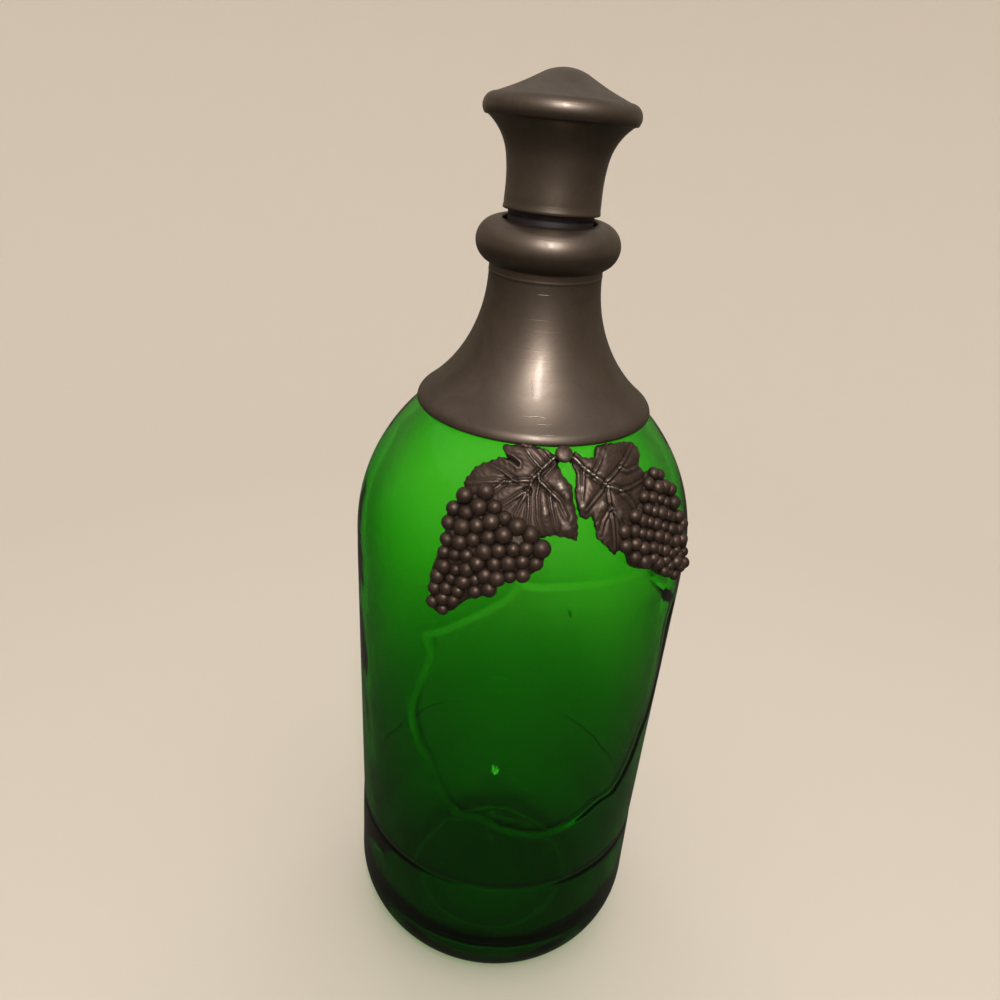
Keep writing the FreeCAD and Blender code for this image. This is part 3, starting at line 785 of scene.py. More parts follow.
def collar_outline():
    """Closed loop: the skirt from its rim, the ring, then down inside."""
    share = RIM_ROLL / (FLARE + RIM_ROLL)
    join = (RIM_RADIUS - RIM_ROLL + share * (FLARE_CENTRE - RIM_RADIUS + RIM_ROLL),
            RIM + share * (FLARE_TOP - RIM))
    mouth_height = BEAD_HEIGHT + math.sqrt(BEAD_ROUND ** 2 - (BEAD_CENTRE - MOUTH) ** 2)
    inner_low = RIM + 1.6
    inner_radius = FLARE_CENTRE - math.sqrt((FLARE + COLLAR_WALL) ** 2 - (FLARE_TOP - inner_low) ** 2)
    foot = (RIM_RADIUS - COLLAR_WALL + CLEAR + 0.1, RIM)
    skirt = arc(join, (COLLAR_NECK, FLARE_TOP), FLARE, -1, 26)
    raised = [(r + 0.10 * math.exp(-((h - FLARE_TOP - 0.2) / 0.3) ** 2), h)
              for r, h in line((COLLAR_NECK, FLARE_TOP - 0.6), (COLLAR_NECK, BEAD_FOOT), 12)]
    return joined(
        [foot, (RIM_RADIUS - 0.45, RIM), (RIM_RADIUS - 0.12, RIM + 0.12)],
        arc((RIM_RADIUS, RIM + 0.5), join, RIM_ROLL, 1, 6), skirt[:-1], raised,
        [(COLLAR_NECK + 0.05, BEAD_FOOT + 0.1)],
        arc((COLLAR_NECK + 0.5, BEAD_FOOT + 0.2), (BEAD_RADIUS, BEAD_HEIGHT), BEAD_ROUND, 1, 9),
        arc((BEAD_RADIUS, BEAD_HEIGHT), (MOUTH + 0.4, mouth_height), BEAD_ROUND, 1, 14),
        [(MOUTH + 0.1, mouth_height - 0.15), (MOUTH, mouth_height - 0.6), (MOUTH, LIP + CLEAR + 0.2),
         (MOUTH, LIP + CLEAR), (NECK_RADIUS + CLEAR, LIP + CLEAR), (NECK_RADIUS + CLEAR, FLARE_TOP)],
        arc((NECK_RADIUS + CLEAR, FLARE_TOP), (inner_radius, inner_low), FLARE + COLLAR_WALL, 1, 16),
        [foot])


def cap_outline():
    """The cap from its foot up: waist, flare, turned lip, dished cone and a low dome."""
    foot, waist = 14.1, 13.85
    waist_height = CAP_FOOT + 6.6
    waist_round, rise = 45.0, 7.7
    low_flare = (waist + waist_round - math.sqrt(waist_round ** 2 - rise ** 2), waist_height + rise)
    lip = (low_flare[0] + 6.2, low_flare[1] + 9.8)
    shoulder = (lip[0] - 2.1, lip[1] + 5.7)
    tip = (5.9, lip[1] + 11.7)
    cone = line(shoulder, tip, 10)
    dished = [(r, h - 0.32 * math.sin(math.pi * i / 10)) for i, (r, h) in enumerate(cone)]
    return joined(
        [(0, CAP_FOOT + 0.5), (foot - 1.3, CAP_FOOT + 0.5), (foot - 1.1, CAP_FOOT),
         (foot - 0.15, CAP_FOOT), (foot, CAP_FOOT + 0.15), (foot - 0.02, CAP_FOOT + 0.8),
         (foot - 0.14, CAP_FOOT + 1.2)],
        line((foot - 0.14, CAP_FOOT + 1.2), (waist, waist_height), 4),
        arc((waist, waist_height), low_flare, waist_round, -1, 6),
        arc(low_flare, lip, 15.2, -1, 10),
        [(lip[0] - 0.12, lip[1] - 0.25), (lip[0] + 0.5, lip[1] - 0.15), (lip[0] + 0.75, lip[1] + 0.12)],
        arc((lip[0] + 0.75, lip[1] + 0.12), shoulder, 3.6, 1, 10),
        dished[1:], arc(tip, (0, CAP_TOP), 14.0, 1, 7))


def plug_outline():
    """Moulded plug: two low ribs round the part that shows, and a tapered shank in the neck."""
    shank = BORE - CLEAR
    face = 12.5
    middle = (LIP + CAP_FOOT) / 2
    return [(0, PLUG_LOW.z), (shank - 0.9, PLUG_LOW.z), (shank - 0.6, PLUG_LOW.z + 0.4),
            (shank, LIP - 0.1), (shank, LIP), (face - 0.3, LIP), (face, LIP + 0.3),
            (face, middle + 1.2), (face - 0.12, middle + 1.35), (face - 0.12, middle + 1.9),
            (face, middle + 2.05), (face, PLUG_HIGH.z - 0.2), (face - 0.1, PLUG_HIGH.z),
            (0, PLUG_HIGH.z)]


# ------------------------------------------------------------------------------- vine sprigs
SEAT_FROM, SEAT_TO = 150.0, 224.0
LEAD_IN = 2.9
FINE_RIB_PITCH = 1.5
SETTLING_ROUNDS = 34
# Shares of the sum of two grapes' radii: how far apart they start, and how near they may come.
GRAPE_PITCH, GRAPE_NEARNESS = 0.83, 0.86


def seat_line():
    """Radius that a casting lies on at each height: the shoulder, and over the collar's rim."""
    heights = np.arange(SEAT_FROM, SEAT_TO, 0.1)
    above = np.clip(heights - SHOULDER, 0, SHOULDER_ROUND * 0.99)
    glass = np.where(heights < SHOULDER, wall_radius(heights),
                     SHOULDER_CENTRE + np.sqrt(SHOULDER_ROUND ** 2 - above ** 2))
    roll = RIM_RADIUS - RIM_ROLL + np.sqrt(np.clip(RIM_ROLL ** 2 - (heights - RIM) ** 2, 0.01, None))
    seat = np.where(heights < RIM, glass, np.maximum(roll, glass)) + SPRIG_GAP
    start = RIM - LEAD_IN
    lead = (heights > start) & (heights < RIM)
    ends = np.interp([start, RIM + 0.01], heights, seat)
    seat[lead] = np.maximum(seat[lead], np.interp(heights[lead], [start, RIM], ends))
    reach = 9
    kernel = np.hanning(2 * reach + 1)
    padded = np.pad(seat, reach, mode="edge")
    return heights, np.convolve(padded, kernel / kernel.sum(), mode="valid") + 0.04


SEAT_HEIGHTS, SEAT = seat_line()
SEAT_SLOPE = np.gradient(SEAT, SEAT_HEIGHTS)


def on_seat(spots, lift):
    """Places (across, up) spots on the shoulder, lifted straight out from it, all in mm."""
    heights = RIM + spots[:, 1]
    radius = np.interp(heights, SEAT_HEIGHTS, SEAT)
    slope = np.interp(heights, SEAT_HEIGHTS, SEAT_SLOPE)
    size = np.sqrt(1 + slope ** 2)
    bearing = np.radians(SPRIG_TURN) + spots[:, 0] / radius
    out = np.column_stack([np.sin(bearing) / size, -np.cos(bearing) / size, -slope / size])
    base = np.column_stack([radius * np.sin(bearing), -radius * np.cos(bearing), heights])
    return base + out * np.asarray(lift)[:, None], out


def toothed(loop, tooth, pitch, seed):
    """Gives a leaf's edge small uneven teeth."""
    rng = random.Random(seed)
    area = np.sum(loop[:, 0] * np.roll(loop[:, 1], -1) - np.roll(loop[:, 0], -1) * loop[:, 1])
    outward = edge_normals(loop) * (1 if area > 0 else -1)
    length = np.concatenate([[0], np.cumsum(np.hypot(*np.diff(loop, axis=0).T))])
    total = length[-1]
    count = max(3, round(total / pitch))
    tips = sorted((i + rng.uniform(-0.3, 0.3)) * total / count for i in range(count))
    depth = [rng.uniform(0.4, 1.0) * tooth for _ in tips]
    move = np.zeros(len(loop))
    for tip, size in zip(tips, depth):
        gap = np.abs((length - tip + total / 2) % total - total / 2)
        move = np.maximum(move, size * np.clip(1 - gap / (pitch * 0.42), 0, 1))
    return loop + outward * (move - tooth * 0.4)[:, None]


def filled(loop, spacing):
    """Points and triangles that fill a closed loop."""
    grid = hex_grid(loop.min(axis=0), loop.max(axis=0), spacing)
    grid = grid[depth_inside(grid, loop) > spacing * 0.55]
    points = [Vector(p) for p in np.vstack([loop, grid])]
    flat, _, faces = delaunay_2d_cdt(points, [], [list(range(len(loop)))], 1, 1e-6)[:3]
    return np.array([tuple(p) for p in flat]), faces


def ridge(gap, width):
    """A soft rise, 1 in its middle, that dies away within about its width."""
    return np.exp(-(gap / width) ** 2)


def leaf_relief(spots, loop, stems, veins, swellings, folds):
    """Height of a leaf above its seat, with how rubbed and how hollow each spot is."""
    edge = depth_inside(spots, loop)
    height = 0.85 + 0.85 * (1 - np.exp(-np.clip(edge, 0, None) / 1.3))
    worn = 0.35 * ridge(edge - 0.15, 0.35)
    hollow = np.zeros(len(spots))
    nearest = np.full(len(spots), 1e9)
    stripe = np.zeros(len(spots))
    for runs, rise, width, rubbed in ((stems, 0.75, 0.42, 1.0), (veins, 0.42, 0.30, 0.72)):
        for run in runs:
            run = np.array(run, float)
            gap, along = distance_to_line(spots, run)
            length = np.hypot(*np.diff(run, axis=0).T).sum()
            taper = np.interp(along, [0, length], [1.0, 0.45])
            # The run stands up and tapers, with a groove along each of its sides.
            height += rise * taper * ridge(gap, width * (0.6 + 0.4 * taper))
            height -= 0.34 * taper * ridge(gap - width * 2.1, width * 1.1)
            hollow = np.maximum(hollow, 0.85 * taper * ridge(gap - width * 2.2, width * 0.8))
            worn = np.maximum(worn, rubbed * taper * ridge(gap, width * 0.75))
            closer = gap < nearest
            nearest[closer] = gap[closer]
            stripe[closer] = along[closer] - 0.8 * gap[closer]
    # The blade swells between its veins, and fine ribs slant off them.
    height += 0.45 * (1 - np.exp(-(nearest / 2.2) ** 2))
    fine = np.sin(stripe * 2 * math.pi / FINE_RIB_PITCH)
    away = np.clip((nearest - 1.0) / 1.2, 0, 1)
    height += 0.055 * fine * away
    hollow = np.maximum(hollow, 0.22 * np.clip(-fine, 0, 1) * away)
    worn = np.maximum(worn, 0.12 * np.clip(fine, 0, 1) ** 2 * away)
    for across, up, size, rise in swellings:
        gap = np.hypot(spots[:, 0] - across, (spots[:, 1] - up) * 0.85)
        height += rise * ridge(gap, size)
        worn = np.maximum(worn, 0.72 * ridge(gap, size * 0.8))
    for run, width in folds:
        gap, _ = distance_to_line(spots, np.array(run, float))
        height += 0.40 * ridge(gap - width * 1.6, width) - 0.5 * ridge(gap, width * 0.9)
        hollow = np.maximum(hollow, ridge(gap, width * 0.8))
        worn = np.maximum(worn, 0.6 * ridge(gap - width * 1.6, width * 0.6))
    return height, np.clip(worn, 0, 1), np.clip(hollow, 0, 1)


def slab(name, loop, spacing, relief):
    """A thin cast sheet on the shoulder: its top follows relief, its underside the seat."""
    flat, faces = filled(loop, spacing)
    height, worn, hollow = relief(flat)
    top, _ = on_seat(flat, height)
    under, _ = on_seat(flat, np.zeros(len(flat)))
    count = len(flat)
    sides, uses = [], {}
    for face in faces:
        for a, b in zip(face, face[1:] + face[:1]):
            uses[(a, b)] = uses.get((a, b), 0) + 1
    for a, b in uses:
        if (b, a) not in uses:
            sides.append((b, a, a + count, b + count))
    under_faces = [tuple(i + count for i in reversed(f)) for f in faces]
    mesh = mesh_from(name, np.vstack([top, under]), faces + under_faces + sides)
    set_layers(mesh, worn=np.concatenate([worn, worn * 0]), hollow=np.concatenate([hollow, hollow * 0]))
    closed_and_smooth(mesh, merge=1e-5)
    return mesh


def settled_grapes(loop, large, small, toward, tilt, seed):
    """Grapes packed inside a bunch's outline, smaller towards its tip, pushed apart until they fit."""
    rng = np.random.default_rng(seed)
    tip = np.array(toward, float)
    span = np.hypot(*(loop - tip).T).max()

    def sizes(spots):
        share = np.clip(np.hypot(*(spots - tip).T) / span, 0, 1)
        return small + (large - small) * share ** 0.9

    pitch = (large + small) * GRAPE_PITCH
    centre = loop.mean(axis=0)
    spots = hex_grid(np.array([-40.0, -40.0]), np.array([40.0, 40.0]), pitch)
    cos, sin = math.cos(math.radians(tilt)), math.sin(math.radians(tilt))
    spots = centre + spots @ np.array([[cos, sin], [-sin, cos]])
    spots = spots[depth_inside(spots, loop) > small * 0.3]
    spots += rng.uniform(-1.25, 1.25, spots.shape)
    scatter = rng.uniform(0.80, 1.10, len(spots))
    for _ in range(SETTLING_ROUNDS):
        radius = sizes(spots) * scatter
        way = spots[:, None] - spots[None]
        gap = np.hypot(way[..., 0], way[..., 1]) + np.eye(len(spots)) * 99
        wanted = (radius[:, None] + radius[None]) * GRAPE_NEARNESS
        push = np.clip(wanted - gap, 0, None) / gap
        spots += 0.22 * (way * push[..., None]).sum(axis=1)
        depth = depth_inside(spots, loop)
        outside = depth < radius * 0.45
        if outside.any():
            way_in = centre - spots[outside]
            spots[outside] += 0.12 * way_in / np.hypot(*way_in.T)[:, None]
    return spots, sizes(spots) * scatter


def grape_mesh():
    """One grape, a slightly flattened ball."""
    work = bmesh.new()
    bmesh.ops.create_icosphere(work, subdivisions=3, radius=1.0)
    for vertex in work.verts:
        vertex.co.z *= 0.94
    mesh = bpy.data.meshes.new("grape")
    work.to_mesh(mesh)
    work.free()
    return mesh


def bunch_tree():
    """Sets a grape on every spot, turned to stand straight out, in the size its spot carries."""
    tree, given = node_tree("Grape Bunch", [
        ("Spots", "Geometry", None), ("Grape", "Object", None), ("Grape Size", "Float", 1.0),
        ("Uneven Roundness", "Float", 0.05), ("Seed", "Int", 4), ("Finish", "Material", None),
    ], [("Geometry", "Geometry")])
    outward, size = (node(tree, "GeometryNodeInputNamedAttribute", {"Name": label},
                          data_type=kind).outputs["Attribute"]
                     for label, kind in (("outward", "FLOAT_VECTOR"), ("size", "FLOAT")))
    turn = node(tree, "FunctionNodeAlignRotationToVector", {"Vector": outward}, axis="Z")
    limits = []
    for operation in ("SUBTRACT", "ADD"):
        each = maths(tree, operation, 1.0, given["Uneven Roundness"])
        limits.append(node(tree, "ShaderNodeCombineXYZ", {"X": each, "Y": each, "Z": each}).outputs[0])
    uneven = node(tree, "FunctionNodeRandomValue", {"Min": limits[0], "Max": limits[1],
                                                    "Seed": given["Seed"]}, data_type="FLOAT_VECTOR")
    scale = node(tree, "ShaderNodeVectorMath", {
        0: uneven.outputs[0], "Scale": maths(tree, "MULTIPLY", size, given["Grape Size"])},
        operation="SCALE")
    grape = node(tree, "GeometryNodeObjectInfo", {"Object": given["Grape"]})
    placed = node(tree, "GeometryNodeInstanceOnPoints", {
        "Points": given["Spots"], "Instance": grape.outputs["Geometry"], "Rotation": turn.outputs[0],
        "Scale": scale.outputs[0]})
    return coated(tree, placed.outputs[0], given["Finish"])


BUNCH = bunch_tree()


def bunch_of_grapes(name, spots, radii, seed):
    """The grapes of one bunch as a plain mesh in mm."""
    rng = np.random.default_rng(seed + 1)
    lift = 0.45 + 0.42 * radii + rng.uniform(0.0, 0.75, len(radii))
    places, outward = on_seat(spots, lift)
    holder = new_object(name, mesh_from(name, places, []))
    for label, kind, values in (("outward", "FLOAT_VECTOR", outward), ("size", "FLOAT", radii)):
        layer = holder.data.attributes.new(label, kind, "POINT")
        layer.data.foreach_set("vector" if kind == "FLOAT_VECTOR" else "value", np.ravel(values))
    ball = new_object("grape", grape_mesh())
    mesh = grown(holder, BUNCH, Grape=ball, Grape_Size=1.0, Uneven_Roundness=0.05, Seed=seed,
                 Finish=CASTING_FINISH)
    bpy.data.objects.remove(holder)
    bpy.data.objects.remove(ball)
    set_layers(mesh, worn=0.12, hollow=0.0)
    return mesh


def bunch_relief(loop, spots, radii):
    """Height of the web of metal between the grapes."""
    def relief(flat):
        edge = depth_inside(flat, loop)
        gap = np.hypot(*(flat[:, None] - spots[None]).transpose(2, 0, 1)) / radii[None]
        near = gap.min(axis=1)
        height = 0.8 + 0.55 * (1 - np.exp(-np.clip(edge, 0, None) / 0.9))
        height += 0.12 * np.sin(flat[:, 0] * 3.1) * np.cos(flat[:, 1] * 2.7)
        worn = np.clip(0.50 - 0.8 * np.abs(near - 1.0), 0, 0.42)
        return height, worn, np.clip(1.3 - near, 0, 0.6)
    return relief


def sprig(name, leaf, bunch, seed):
    """One sprig: a leaf and its bunch of grapes, cast together."""
    leaf_loop = toothed(smooth_loop(leaf["outline"], 0.35), leaf["tooth"], leaf["pitch"], seed)
    bunch_loop = smooth_loop(bunch["outline"], 0.6)
    spots, radii = settled_grapes(bunch_loop, bunch["large"], bunch["small"], bunch["tip"],
                                  bunch["tilt"], seed)
    parts = [
        slab(f"{name}_leaf", leaf_loop, 0.36, lambda flat: leaf_relief(
            flat, leaf_loop, leaf["stems"], leaf["veins"], leaf["swellings"], leaf["folds"])),
        slab(f"{name}_web", bunch_loop, 0.7, bunch_relief(bunch_loop, spots, radii)),
        bunch_of_grapes(f"{name}_grapes", spots, radii, seed),
    ]
    work = bmesh.new()
    for mesh in parts:
        work.from_mesh(mesh)
    whole = bpy.data.meshes.new(name)
    work.to_mesh(whole)
    work.free()
    whole.transform(Matrix.Scale(MM, 4))
    for polygon in whole.polygons:
        polygon.material_index = 0
    return new_object(name, whole)


# All measures of the sprigs are across and up from the middle of the collar's rim. Outlines run round
# the leaf or bunch, and a third item marks a corner. Veins run from their thick end. Swellings are
# (across, up, size, rise), and folds are a run and its width.
LEFT_LEAF = {
    "outline": [
        (-0.9, -2.9, CORNER), (-2.8, -1.8), (-4.4, -0.8), (-6.2, -0.3, CORNER), (-8.5, 0.6),
        (-11.5, 0.8), (-13.2, 0.1, CORNER), (-16.5, -0.5, CORNER), (-16.7, -2.2),
        (-15.9, -3.6, CORNER), (-17.8, -3.8), (-21.6, -5.0), (-25.2, -6.9),
        (-29.4, -10.8, CORNER), (-27.9, -12.4), (-24.6, -13.6), (-20.4, -17.6),
        (-15.2, -20.6), (-8.8, -21.4), (-6.2, -20.6, CORNER), (-3.0, -20.6),
        (2.4, -21.8, CORNER), (2.5, -17.6), (2.2, -14.6, CORNER), (1.7, -12.4),
        (1.5, -10.4), (1.3, -8.8), (-0.6, -6.8), (-1.7, -4.4)],
    "tooth": 0.45, "pitch": 2.3,
    "stems": [[(-1.0, -1.8), (-2.2, -2.4), (-5.9, -4.9), (-9.0, -7.3), (-10.7, -10.0)],
              [(-7.6, -6.6), (-7.6, -7.8), (-5.4, -9.7), (-2.3, -12.4), (-0.6, -15.8)]],
    "veins": [[(-10.7, -10.0), (-15.0, -12.5), (-18.6, -14.8)],
              [(-10.8, -10.2), (-13.2, -13.5), (-14.8, -16.4)],
              [(-10.7, -10.2), (-10.9, -14.1), (-11.7, -19.4)],
              [(-9.6, -7.9), (-15.7, -8.6), (-20.5, -9.3), (-28.2, -10.8)],
              [(-6.6, -5.3), (-9.0, -3.2), (-11.0, -0.4)],
              [(-4.0, -3.6), (-5.6, -1.8), (-7.0, -0.2)],
              [(-7.6, -8.0), (-8.6, -11.4), (-8.6, -16.4), (-7.2, -20.4)],
              [(-2.4, -3.8), (-5.0, -6.0), (-6.6, -7.4)],
              [(-5.0, -10.2), (-4.6, -13.8), (-3.4, -19.4)],
              [(-14.0, -8.4), (-17.4, -6.6), (-21.0, -5.6)],
              [(-17.0, -8.8), (-20.8, -11.4), (-23.4, -13.0)]],
    "swellings": [(-1.7, -8.9, 1.9, 0.7), (-0.3, -11.2, 1.1, 0.4), (-1.2, -18.0, 2.0, 0.4),
                  (-6.4, -14.4, 1.5, 0.3), (-9.8, -1.6, 1.3, 0.3)],
    "folds": [([(-16.2, -3.5), (-14.6, -3.9), (-13.0, -4.8)], 0.52)],
}
RIGHT_LEAF = {
    "outline": [
        (1.2, -2.9, CORNER), (2.6, -2.0), (3.6, -1.1, CORNER), (4.2, -1.8), (5.5, -2.8),
        (8.9, -3.1, CORNER), (9.4, -1.8), (9.8, -0.5, CORNER), (13.0, 0.1), (17.0, -0.6, CORNER),
        (20.6, -1.0), (24.4, -1.9, CORNER), (26.0, -4.4), (25.2, -7.0, CORNER),
        (26.8, -9.6, CORNER), (25.0, -12.4), (22.0, -17.6), (19.6, -21.6),
        (17.0, -24.4), (14.0, -26.8, CORNER), (10.8, -23.8), (8.4, -21.6, CORNER),
        (7.8, -18.4), (7.0, -16.2, CORNER), (5.2, -16.7), (3.6, -16.3, CORNER),
        (3.0, -14.4), (2.4, -12.0), (2.4, -9.4), (3.0, -7.2),
        (2.6, -5.0)],
    "tooth": 0.45, "pitch": 2.2,
    "stems": [[(1.5, -2.0), (2.4, -2.7), (4.8, -4.9), (7.7, -6.9), (11.7, -9.6), (15.7, -11.1),
               (19.1, -13.8), (21.7, -17.2)]],
    "veins": [[(12.0, -9.8), (12.4, -14.0), (13.2, -19.0), (13.8, -25.6)],
              [(11.4, -9.4), (8.6, -11.8), (5.0, -14.8)],
              [(16.0, -11.2), (19.8, -11.2), (25.6, -10.4)],
              [(7.8, -6.9), (10.4, -4.2), (12.6, -0.6)],
              [(11.0, -9.2), (16.6, -6.2), (23.4, -2.2)],
              [(5.2, -5.3), (4.7, -8.6), (4.0, -12.0)],
              [(12.7, -15.0), (15.8, -18.6), (17.2, -22.0)],
              [(12.6, -14.6), (10.2, -17.6), (9.2, -20.8)],
              [(16.6, -6.2), (19.0, -7.4), (24.6, -7.2)]],
    "swellings": [(3.8, -9.6, 1.2, 0.5), (3.9, -13.6, 1.5, 0.6), (9.8, -13.8, 1.4, 0.35),
                  (11.6, -2.8, 1.6, 0.35), (14.8, -16.8, 1.6, 0.3)],
    "folds": [],
}
LEFT_BUNCH = {
    "outline": [
        (-20.2, -11.2), (-27.2, -12.0), (-32.0, -16.0), (-34.4, -19.0),
        (-35.6, -26.6), (-37.9, -31.6), (-39.4, -36.6), (-39.2, -42.0),
        (-38.4, -47.2), (-35.4, -47.4), (-32.0, -45.6), (-28.6, -41.6),
        (-25.4, -39.5), (-21.2, -37.8), (-19.8, -34.4), (-16.2, -31.9),
        (-12.4, -31.9), (-7.4, -28.2), (-6.8, -22.8), (-11.0, -18.8),
        (-15.2, -16.5), (-18.8, -14.6)],
    "large": 2.6, "small": 1.9, "tip": (-38.4, -47.0), "tilt": 14.0,
}
RIGHT_BUNCH = {
    "outline": [
        (28.0, -9.0), (32.0, -9.6), (35.8, -11.6), (39.2, -15.4),
        (40.0, -19.0), (43.6, -23.4), (45.9, -26.4), (45.8, -30.0),
        (46.4, -33.0), (48.2, -36.4), (45.4, -40.6), (37.8, -40.2),
        (32.4, -37.4), (27.8, -34.3), (20.0, -31.3), (18.0, -27.6),
        (15.8, -25.0), (15.9, -18.6), (20.3, -17.2), (22.8, -14.4),
        (25.3, -11.4)],
    "large": 2.25, "small": 1.9, "tip": (47.0, -39.0), "tilt": 38.0,
}


def rivet_head():
    """The flat round knob that holds both sprigs, square to the leaves it sits on."""
    outline = [(0, 0), (2.3, 0), (2.5, 0.2), (2.52, 0.75), (2.35, 1.12), (2.0, 1.38), (1.3, 1.55),
               (0.7, 1.60), (0, 1.60)]
    piece = turned("rivet_head", outline, 40, CASTING_FINISH)
    centre = (RIVET_LOW + RIVET_HIGH) / 2 + Vector((-0.3, 0, 0.35))
    out = Vector((centre.x, centre.y, 0)).normalized()
    slope = math.sqrt(0.5)
    way = Vector((out.x * slope, out.y * slope, slope))
    sunk_in = 0.85
    seat = (centre - way * sunk_in) * MM
    piece.data.transform(Matrix.Translation(seat) @ way.to_track_quat("Z", "Y").to_matrix().to_4x4())
    set_layers(piece.data, worn=0.42, hollow=0.0)
    return piece


def askew(piece):
    """Leans what stands above the neck's lip: the stopper sits a little crooked, high in front."""
    pivot = Vector((0, 0, LIP * MM))
    high_side = math.radians(-37.0)
    hinge = Vector((-math.cos(high_side), -math.sin(high_side), 0))
    for vertex in piece.data.vertices:
        share = min(1.0, max(0.0, (vertex.co.z / MM - LIP) / 3.0))
        lean = Matrix.Rotation(math.radians(3.4) * share, 4, hinge)
        vertex.co = pivot + lean @ (vertex.co - pivot)
    return piece


# ------------------------------------------------------------------------------- the object
finished(glass_bottle(), "glass_bottle", GLASS_FINISH)
finished(turned("collar_shell", collar_outline(), 128, PEWTER_FINISH), "collar", PEWTER_FINISH)
finished(askew(turned("cap_shell", cap_outline(), 112, PEWTER_FINISH)), "stopper_cap",
         PEWTER_FINISH)
finished(askew(turned("plug_body", plug_outline(), 80, PLUG_FINISH)), "stopper_plug",
         PLUG_FINISH)
finished(sprig("sprig_left_casting", LEFT_LEAF, LEFT_BUNCH, 7), "sprig_left",
         CASTING_FINISH)
finished(sprig("sprig_right_casting", RIGHT_LEAF, RIGHT_BUNCH, 12), "sprig_right",
         CASTING_FINISH)
finished(rivet_head(), "rivet", CASTING_FINISH)

# ------------------------------------------------------------------------------- floor and light
FLOOR_FLAT = 0.42
SWEEP = 0.48
WALL_TOP = 0.72


def floor():
    """A pale round floor that sweeps up into a low wall on every side, with painted shade where it shows
    in reflections: darker there, and darker still towards the bottom.
    """
    corner = [(FLOOR_FLAT + SWEEP * math.sin(a), SWEEP * (1 - math.cos(a)))
              for a in np.radians(np.arange(0, 91, 6))]
    rows = [(0.02, 0.0), (0.2, 0.0)] + corner + [(FLOOR_FLAT + SWEEP, WALL_TOP)]
    columns = 96
    points = [(r * math.sin(b), -r * math.cos(b), z)
              for r, z in rows for b in np.radians(np.arange(columns) * 360 / columns)]
    faces = ring_faces(rows, columns) + [tuple(reversed(range(columns)))]
    piece = new_object("studio_floor", mesh_from("studio_floor", points, faces))
    for polygon in piece.data.polygons:
        polygon.use_smooth = True
    made, tree, shader = material("pale_floor")
    path = node(tree, "ShaderNodeLightPath").outputs
    straight = maths(tree, "SUBTRACT", 1.0, path["Is Transmission Ray"])
    mirrored = maths(tree, "MULTIPLY", path["Is Glossy Ray"], straight)
    # Painted shade in reflections: shiny surfaces see the floor darker than it is, darker still towards
    # the bottom.
    painted_dark_reflection = mixed(tree, ranged(tree, apart(tree, place_on(tree))["Z"], 0.02, 0.35),
                      (0.055, 0.052, 0.045, 1), (0.26, 0.235, 0.20, 1))
    fill(tree, shader, {"Base Color": mixed(tree, mirrored, (0.62, 0.575, 0.52, 1), painted_dark_reflection),
                        "Roughness": 0.9, "Specular IOR Level": 0.1})
    piece.data.materials.append(made)


def world(seen, lit, mirrored):
    """Even pale surroundings: as seen, as they light, and as they show in reflections."""
    scene_world = bpy.data.worlds.new("studio")
    bpy.context.scene.world = scene_world
    scene_world.use_nodes = True
    tree = scene_world.node_tree
    path = node(tree, "ShaderNodeLightPath").outputs
    direct = maths(tree, "MAXIMUM", path["Is Camera Ray"], path["Is Transmission Ray"])
    other = ranged(tree, path["Is Diffuse Ray"], 0.0, 1.0, mirrored, lit)
    fill(tree, tree.nodes["Background"], {"Color": (1.0, 0.89, 0.77, 1),
                                          "Strength": ranged(tree, direct, 0.0, 1.0, other, seen)})


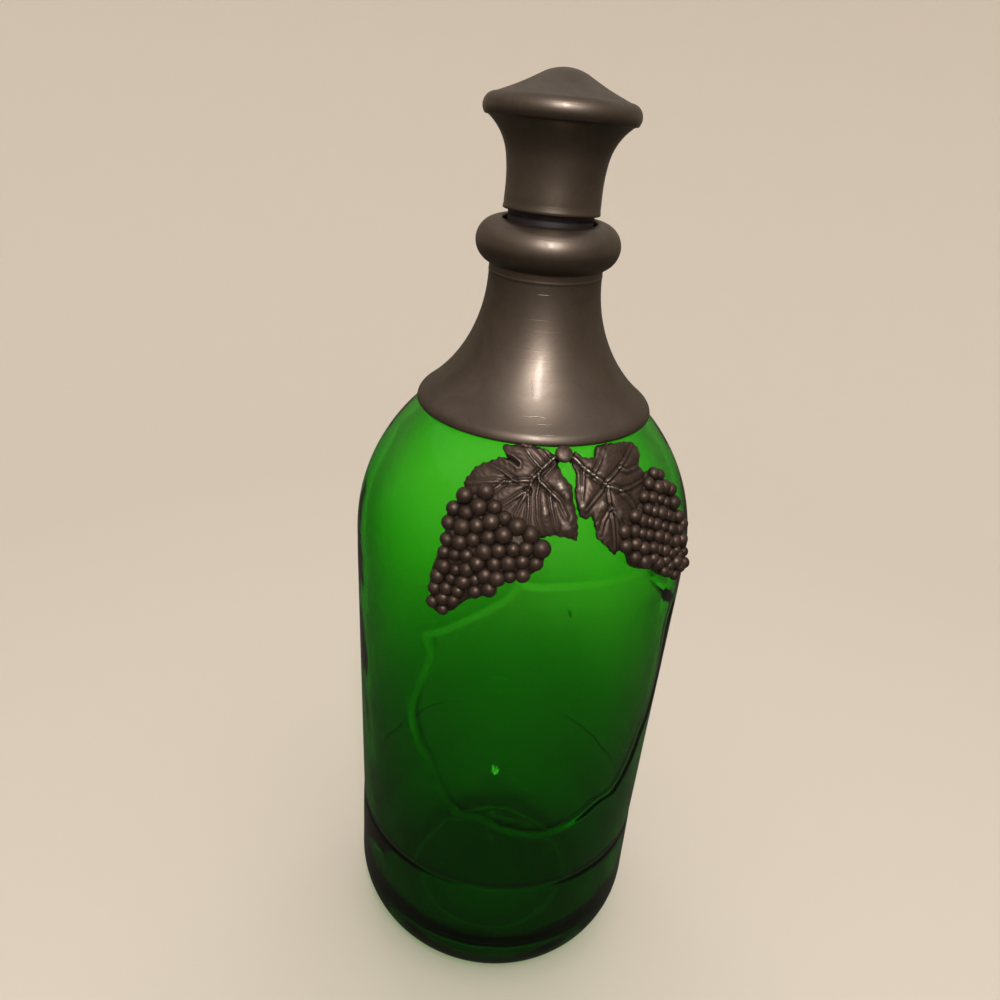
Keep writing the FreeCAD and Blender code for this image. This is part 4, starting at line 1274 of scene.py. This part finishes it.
def softbox(name, bearing, elevation, distance, width, height, power, mirrored=True):
    """An area lamp that faces the middle of the object, and may show in shiny surfaces."""
    lamp = bpy.data.lights.new(name, "AREA")
    lamp.shape = "RECTANGLE"
    lamp.size, lamp.size_y = width, height
    lamp.energy = power
    lamp.color = (1.0, 0.96, 0.90)
    thing = bpy.data.objects.new(name, lamp)
    bpy.context.scene.collection.objects.link(thing)
    a, e = math.radians(bearing), math.radians(elevation)
    way = Vector((math.sin(a) * math.cos(e), -math.cos(a) * math.cos(e), math.sin(e)))
    target = Vector((0, 0, 0.17))
    thing.location = target + way * distance
    thing.rotation_euler = way.to_track_quat("Z", "Y").to_euler()
    thing.visible_camera = False
    thing.visible_glossy = mirrored


floor()
world(seen=0.70, lit=0.53, mirrored=0.42)
softbox("key_light", -15.0, 47.0, 0.95, 0.10, 0.40, 5.2)
softbox("top_light", 30.0, 75.0, 1.5, 1.6, 1.6, 5.0, mirrored=False)
softbox("back_light", 160.0, 62.0, 1.2, 1.2, 0.5, 4.0, mirrored=False)

# ------------------------------------------------------------------------------- camera
CAMERA_BEARING = -20.46
CAMERA_REACH = 0.2549
CAMERA_HEIGHT = 0.3081
CAMERA_PITCH = math.radians(27.0)
CAMERA_YAW = math.radians(-1.8)
CAMERA_ROLL = math.radians(4.56)


def camera():
    """A view from a little above, turned about the object's axis and tipped to one side."""
    data = bpy.data.cameras.new("camera")
    data.lens = 30.6
    data.sensor_width = 36.0
    data.clip_start = 0.01
    thing = bpy.data.objects.new("camera", data)
    bpy.context.scene.collection.objects.link(thing)
    bpy.context.scene.camera = thing
    forward = Vector((math.sin(CAMERA_YAW) * math.cos(CAMERA_PITCH),
                      math.cos(CAMERA_YAW) * math.cos(CAMERA_PITCH), -math.sin(CAMERA_PITCH)))
    level = Vector((math.cos(CAMERA_YAW), -math.sin(CAMERA_YAW), 0))
    upright = level.cross(forward)
    right = level * math.cos(CAMERA_ROLL) + upright * math.sin(CAMERA_ROLL)
    up = -level * math.sin(CAMERA_ROLL) + upright * math.cos(CAMERA_ROLL)
    turn = Matrix.Rotation(math.radians(CAMERA_BEARING), 4, "Z")
    frame_ = Matrix((right, up, -forward)).transposed().to_4x4()
    thing.matrix_world = turn @ Matrix.Translation((0, -CAMERA_REACH, CAMERA_HEIGHT)) @ frame_


camera()
bpy.context.scene.view_settings.view_transform = "Standard"
